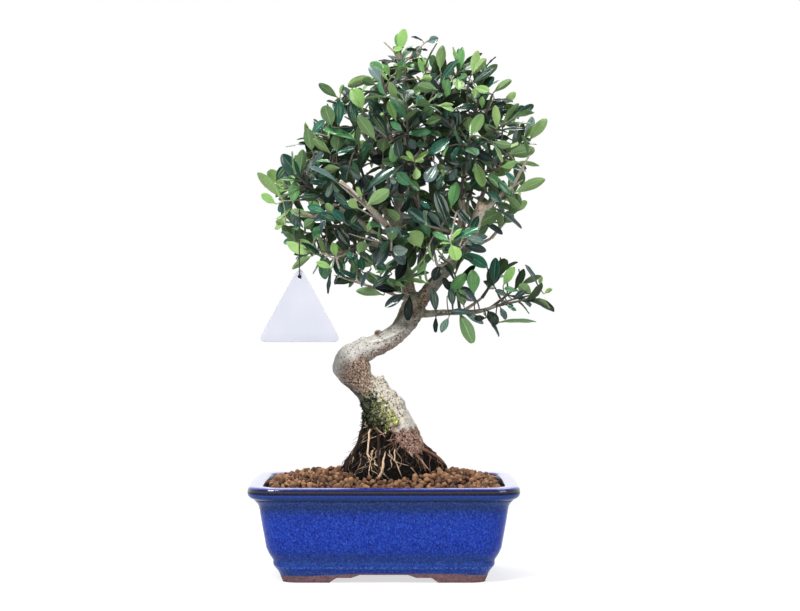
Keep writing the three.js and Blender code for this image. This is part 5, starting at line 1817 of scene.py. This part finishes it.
def addLeaf(piece, one, draw):
    side = cross(one["along"], one["normal"])
    fold, arch = 0.34 + 0.3 * draw(), 0.2 + 0.2 * draw()
    blunt, phase, twist = mix(*blade["tip"], draw()), 2 * math.pi * draw(), 0.6 * (draw() - 0.5)
    depth = depthInside(one["base"])
    young = fade(one["far"] + 0.5 * (draw() - 0.5), 0.5, 1.05) * (1 - fade(depth, 0.2, 0.55))
    tone = one.get("tone", min(1.0, 0.05 + 0.6 * draw() ** 1.5 + 0.6 * young * (draw() > 0.45)))
    # cool: some leaves get a grey-blue painted reflection of the sky
    cool = one.get("cool", float(draw() < 0.22))
    # inside: the deeper a leaf lies in the crown, the more it is painted towards painted shade
    inside = one.get("inside", fade(depth, 0.08, 0.38) * (0.6 + 0.4 * draw()))
    points, faces, under = [], [], []
    # grime makes a leaf rougher and less glossy, and strengthens its painted highlight streak
    marks = {"across": [], "along": [], "tone": tone, "inside": inside, "grime": draw(), "cool": cool}
    stations, across, below = blade["stations"], blade["across"], blade["below"]
    row = len(across) + len(below)
    for t in stations:
        half, middle, body = bladeHalf(one, t, blunt), leafPoint(one, t), fade(t, 0.08, 0.3)
        flat = plus(scaled(side, math.cos(twist * t)), one["normal"], math.sin(twist * t))
        up = cross(flat, one["along"])
        for v in across + below:
            lower = len(marks["across"]) % row >= len(across)
            rise = half * (fold * abs(v) - arch * v * v)
            rise += blade["wave"] * abs(v) * math.sin(15 * t + phase + 1.5 * v) * body
            if lower:
                rib = (v == 0) * (blade["rib"] * (1 - 0.7 * t) + 0.3 * (1 - body))
                rise -= blade["thick"] * (1 - 0.5 * abs(v)) + rib
            elif v == 0:
                rise -= 0.12 * body
            points.append(plus(plus(middle, flat, v * half), up, rise))
            marks["across"].append(v)
            marks["along"].append(t)
    top = list(range(len(across)))
    bottom = [0] + list(range(len(across), row)) + [len(across) - 1]
    for i in range(len(stations) - 1):
        for line, isUnder in ((top, 0.0), (bottom, 1.0)):
            for a, b in zip(line, line[1:]):
                face = (i * row + a, i * row + b, (i + 1) * row + b, (i + 1) * row + a)
                faces.append(face if isUnder else tuple(reversed(face)))
                under.append(isUnder)
    for i in (0, len(stations) - 1):
        ends = [i * row + k for k in top] + [i * row + k for k in reversed(bottom[1:-1])]
        faces.append(tuple(ends) if i else tuple(reversed(ends)))
        under.append(0.0)
    piece.add(points, faces, 0, marks, {"under": under})


def addStem(piece, spots, radii, ages, sides):  # radii and ages at both ends
    along = shares(len(spots) - 1)
    points, faces = tube(spots, [mix(*radii, t) for t in along], sides)
    marks = {
        "age": [mix(*ages, t) for t in along for _ in range(sides)],
        # inside: twigs deep in the crown are painted towards painted shade
        "inside": [fade(depthInside(p), 0.04, 0.3) for p in spots for _ in range(sides)],
    }
    piece.add(points, faces, 1, marks)


def paintLeaf():
    paint = Paint("leafSkin", Specular_IOR_Level=0.22, Coat_Roughness=0.12)
    across, along, tone = abs(paint.mark("across")), paint.mark("along"), paint.mark("tone")
    under, grime, inside, cool = (paint.mark(name) for name in ("under", "grime", "inside", "cool"))
    broad, fine = paint.cloud(7, 3), paint.cloud(1.4, 4, 0.65)
    shade = tone + (broad - 0.5) * 0.2 + (fine - 0.5) * 0.1
    face = paint.colours(shade, (0.05, blade["old"]), (0.25, blade["dark"]), (0.5, blade["green"]),
                         (0.8, blade["fresh"]), (1.0, blade["bud"]))
    skySheen = paint.blend(tone.fade(0.0, 0.5), *blade["cool"])  # a dull grey-blue painted reflection of the sky
    face = paint.blend(cool * (0.6 + fine * 0.5), face, skySheen)
    rib = 1 - across.fade(0.02, 0.12)
    veins = paint.node("ShaderNodeMath", {"operation": "SINE"}, [(along * 9 - across * 2.6) * 6.283])
    veins = veins.fade(0.6, 1.0) * across.fade(0.08, 0.2) * (1 - across.fade(0.75, 0.95)) * 0.07
    margin = across.fade(0.88, 1.0)
    # a painted highlight: a pale streak along each half of the blade, stronger on leaves with more wear
    highlightStreak = (1 - abs(across - 0.34).fade(0.05, 0.22)) * along.fade(0.12, 0.3) * (1 - along.fade(0.7, 0.95))
    highlightStreak = highlightStreak * grime.fade(0.35, 0.8) * paint.cloud(5, 2, stretch=(1, 1, 0.6)).fade(0.36, 0.58)
    face = paint.blend(rib * 0.35 + veins + margin * 0.22 + highlightStreak * 0.4, face, blade["ribAndHighlightPale"])
    back = paint.blend(tone.fade(0.2, 0.95), *blade["under"])
    back = paint.blend(fine.fade(0.35, 0.75) * 0.25, back, blade["underDull"])
    back = paint.blend(rib * 0.5 + veins * 1.6 + margin * 0.3, back, blade["underVein"])
    skin = paint.blend(inside * 0.86, paint.blend(under, face, back), blade["shadow"])
    paint.set(Base_Color=skin)
    paint.set(Roughness=under * 0.3 + 0.26 + fine * 0.08 + grime * 0.08 + inside * 0.3)
    paint.set(Coat_Weight=(1 - under) * (0.8 - grime * 0.35) * (1 - inside * 0.9))
    paint.bump(veins * -1.5 - rib * 0.5 + fine * 0.25, 0.2)
    return paint


def paintTwigs():
    paint = Paint("twigBark", Roughness=0.7)
    fine = paint.cloud(1.3, 4)
    age = paint.mark("age") + (paint.cloud(6, 2) - 0.5) * 0.4
    skin = paint.colours(age, (0.0, blade["twigGreen"]), (0.3, blade["twigPale"]), (0.9, blade["twigPale"]))
    skin = paint.blend(fine.fade(0.45, 0.7) * 0.7, skin, blade["twigDark"])
    paint.set(Base_Color=paint.blend(paint.mark("inside") * 0.8, skin, blade["twigShadow"]))
    paint.bump(fine, 0.2)
    return paint


def makeFoliage():
    draw = stream(blade["seed"])
    hand = placeSprigs(space, shoots)
    taken = Space()
    for sprig in hand:
        for one in sprig["leaves"]:
            for p in leafSamples(one):
                taken.add(p, 0.5, "sprig")

    def spared(one):  # whether a leaf neither covers nor cuts those of the sprigs
        samples = leafSamples(one)
        return sum(hides(p) for p in samples) < 8 and all(taken.clear(p, -0.1, "") for p in samples)

    for one in shoots:
        one["leaves"] = [leafy for leafy in one["leaves"] if spared(leafy)]
        one["stem"] = [toward(one["made"]["base"], one["made"]["tip"], t) for t in shares(8)]
        one["radii"] = (1.45, 0.6)
    print("leaves kept on shoots", sum(len(one["leaves"]) for one in shoots))
    twigs = growTwigs(space, shoots)
    print("twigs", len(twigs), "leaves on them", sum(len(one["leaves"]) for one in twigs))
    for name in limbs:
        piece = Shape()
        # each kind of stem with the age of its wood at both ends and how many sides it has
        for stems, ages, sides in ((shoots, (1, 0), 6), (hand, (1, 0.5), 6), (twigs, (0.8, 0), 5)):
            for one in stems:
                if one["limb"] != name:
                    continue
                addStem(piece, one["stem"], one["radii"], ages, sides)
                for stalk in one.get("stalks", ()):
                    addStem(piece, stalk, (0.6, 0.42), (0.7, 0.1), 5)
                for leafy in one["leaves"]:
                    addLeaf(piece, leafy, draw)
        if piece.points:
            made = piece.build("leaves_" + name, [leafSkin, twigBark], "foliage", sharp=62)
            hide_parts(*[one["name"] for one in shoots if one["limb"] == name])


leafSkin = paintLeaf()
twigBark = paintTwigs()
makeFoliage()
print("leaves out")


moss = {
    "tufts": 900, "leaflets": 7, "long": (1.2, 3.2), "wide": (0.32, 0.6), "seed": 9,
    "dark": (28, 36, 30), "green": (98, 110, 68), "bright": (226, 226, 160),
    # x, z, reach, how thick it grows, how bright it is
    "patches": [(-17, 133, 9, 1.0, 0.14), (-17, 122, 9, 1.0, 0.08), (-9, 138, 8, 0.9, 0.4),
                (-3, 130, 8, 0.9, 0.6), (4, 130, 7, 0.9, 0.85), (8, 125, 5, 0.8, 0.9), (-2, 138, 7, 0.7, 0.7),
                (-12, 145, 7, 0.5, 0.35), (-20, 127, 8, 0.9, 0.22), (-21, 134, 5, 0.8, 0.3),
                (-12, 126, 8, 1.0, 0.25), (-5, 121, 6, 0.9, 0.35), (2, 121, 5, 0.7, 0.6)],
}


def paintMoss():
    paint = Paint("moss", Roughness=0.9, Specular_IOR_Level=0.2)
    tone = paint.mark("tone") + (paint.cloud(2, 3) - 0.5) * 0.3
    stops = [(0.1, moss["dark"]), (0.5, moss["green"]), (0.95, moss["bright"])]
    paint.set(Base_Color=paint.colours(tone, *stops))
    return paint


def makeMoss():
    points, faces = [], []
    for piece in (treePiece, moundPiece):
        start = len(points)
        points += [v.co.copy() for v in piece.data.vertices]
        faces += [tuple(start + i for i in face.vertices) for face in piece.data.polygons]
    ground = BVHTree.FromPolygons(points, faces)
    draw = stream(moss["seed"])
    carpet = Shape()
    for _ in range(moss["tufts"] * 3):
        x, z, reach, thick, bright = moss["patches"][int(draw() * len(moss["patches"]))]
        off, far = 2 * math.pi * draw(), reach * math.sqrt(draw())
        front = draw() < 0.75
        aim = (x + far * math.cos(off), -80 if front else 80, z + far * math.sin(off))
        tone = bright + 0.5 * (draw() - 0.5)
        if draw() > thick * (0.45 if front else 0.3) or far / reach > 0.5 + 0.5 * (0.5 + rough(aim, 4, 3)):
            continue
        hit, normal, _, _ = ground.ray_cast(place(aim), Vector((0, 1 if front else -1, 0)))
        if hit is None:
            continue
        base = measured(hit)
        stalk = unit(plus(tuple(normal), (0, 0, 1), 0.35))
        for _ in range(moss["leaflets"]):
            lean = unit(plus(stalk, (draw() - 0.5, draw() - 0.5, draw() - 0.5), 2.0))
            long, wide = mix(*moss["long"], draw() ** 1.5), mix(*moss["wide"], draw())
            side = unit(cross(lean, (draw() - 0.5, draw() - 0.5, 0.1 + draw())))
            thin, foot = cross(side, lean), plus(base, lean, -0.3)
            rings = []
            for share, half in ((0, 0.3), (0.4, 1), (0.75, 0.75), (1, 0.12)):
                middle = plus(foot, lean, long * share)
                reach = wide * half
                corners = ((reach, 0), (0, 0.35 * reach), (-reach, 0), (0, -0.35 * reach))
                rings.append([plus(plus(middle, side, a), thin, b) for a, b in corners])
            carpet.add(*loft(rings), marks={"tone": tone + 0.35 * (draw() - 0.5)})
    print("moss faces", len(carpet.faces))
    return carpet.build("moss_tufts", [mossPaint], "foliage")


mossPaint = paintMoss()
makeMoss()
print("moss grown")


studio = {
    # the floor fades into the background between near and far, in mm
    "floor": (150, 150, 152), "glow": 0.66, "half": 3, "near": 420, "far": 900,
    "front": 0.3, "back": 1.15,  # how bright the room is on both sides
    # place in mm, width in m, power in W
    "lamps": [((-620, -1150, 1500), 0.55, 41), ((1150, -1000, 900), 0.8, 10), ((100, 900, 1600), 1.2, 22)],
    "aim": (10, 0, 230), "exposure": 0.0, "gamma": 0.92,
}


def lightRoom():  # a soft room that is brighter behind, seen as plain white
    world = bpy.data.worlds.new("studio")
    bpy.context.scene.world = world
    world.use_nodes = True
    nodes, links = world.node_tree.nodes, world.node_tree.links
    nodes.clear()
    soft, shown = nodes.new("ShaderNodeBackground"), nodes.new("ShaderNodeBackground")
    choice = nodes.new("ShaderNodeMixShader")
    spread, parts = nodes.new("ShaderNodeMapRange"), nodes.new("ShaderNodeSeparateXYZ")
    links.new(nodes.new("ShaderNodeTexCoord").outputs["Generated"], parts.inputs[0])
    links.new(parts.outputs["Y"], spread.inputs["Value"])
    limits = {"From Min": -0.3, "From Max": 0.6, "To Min": studio["front"], "To Max": studio["back"]}
    for key, value in limits.items():
        spread.inputs[key].default_value = value
    links.new(spread.outputs[0], soft.inputs[1])
    soft.inputs[0].default_value = shown.inputs[0].default_value = (1, 1, 1, 1)
    shown.inputs[1].default_value = 1.0
    links.new(nodes.new("ShaderNodeLightPath").outputs["Is Camera Ray"], choice.inputs[0])
    links.new(soft.outputs[0], choice.inputs[1])
    links.new(shown.outputs[0], choice.inputs[2])
    links.new(choice.outputs[0], nodes.new("ShaderNodeOutputWorld").inputs[0])


def hangLamps():
    for i, (spot, width, power) in enumerate(studio["lamps"]):
        lamp = added("softbox_%d" % i, bpy.data.lights.new("softbox_%d" % i, "AREA"))
        lamp.data.size, lamp.data.energy = width, power
        lamp.location = place(spot)
        aim = place(studio["aim"]) - lamp.location
        lamp.rotation_euler = aim.to_track_quat("-Z", "Y").to_euler()


def layFloor():
    ground = bpy.data.meshes.new("floor")
    half = studio["half"]
    corners = [(-half, -half, 0), (half, -half, 0), (half, half, 0), (-half, half, 0)]
    ground.from_pydata(corners, [], [(0, 1, 2, 3)])
    paint = Paint("floor", Roughness=0.9, Specular_IOR_Level=0.1)
    paint.shader.inputs["Base Color"].default_value = linear(studio["floor"])
    paint.shader.inputs["Emission Color"].default_value = (1, 1, 1, 1)
    paint.shader.inputs["Emission Strength"].default_value = studio["glow"]
    far = paint.node("ShaderNodeVectorMath", {"operation": "LENGTH"}, [paint.spot], "Value")
    clear = paint.node("ShaderNodeBsdfTransparent", {}, {})
    gone = far.fade(studio["near"], studio["far"])
    shader = Wire(paint, paint.shader.outputs[0])
    both = paint.node("ShaderNodeMixShader", {}, {0: gone, 1: shader, 2: clear})
    paint.tree.links.new(both.socket, paint.tree.nodes["Material Output"].inputs[0])
    ground.materials.append(paint.material)
    floor = added("floor", ground)


lightRoom()
hangLamps()
layFloor()
look = bpy.context.scene.view_settings
look.view_transform, look.exposure, look.gamma = "Standard", studio["exposure"], studio["gamma"]
print("studio lit")
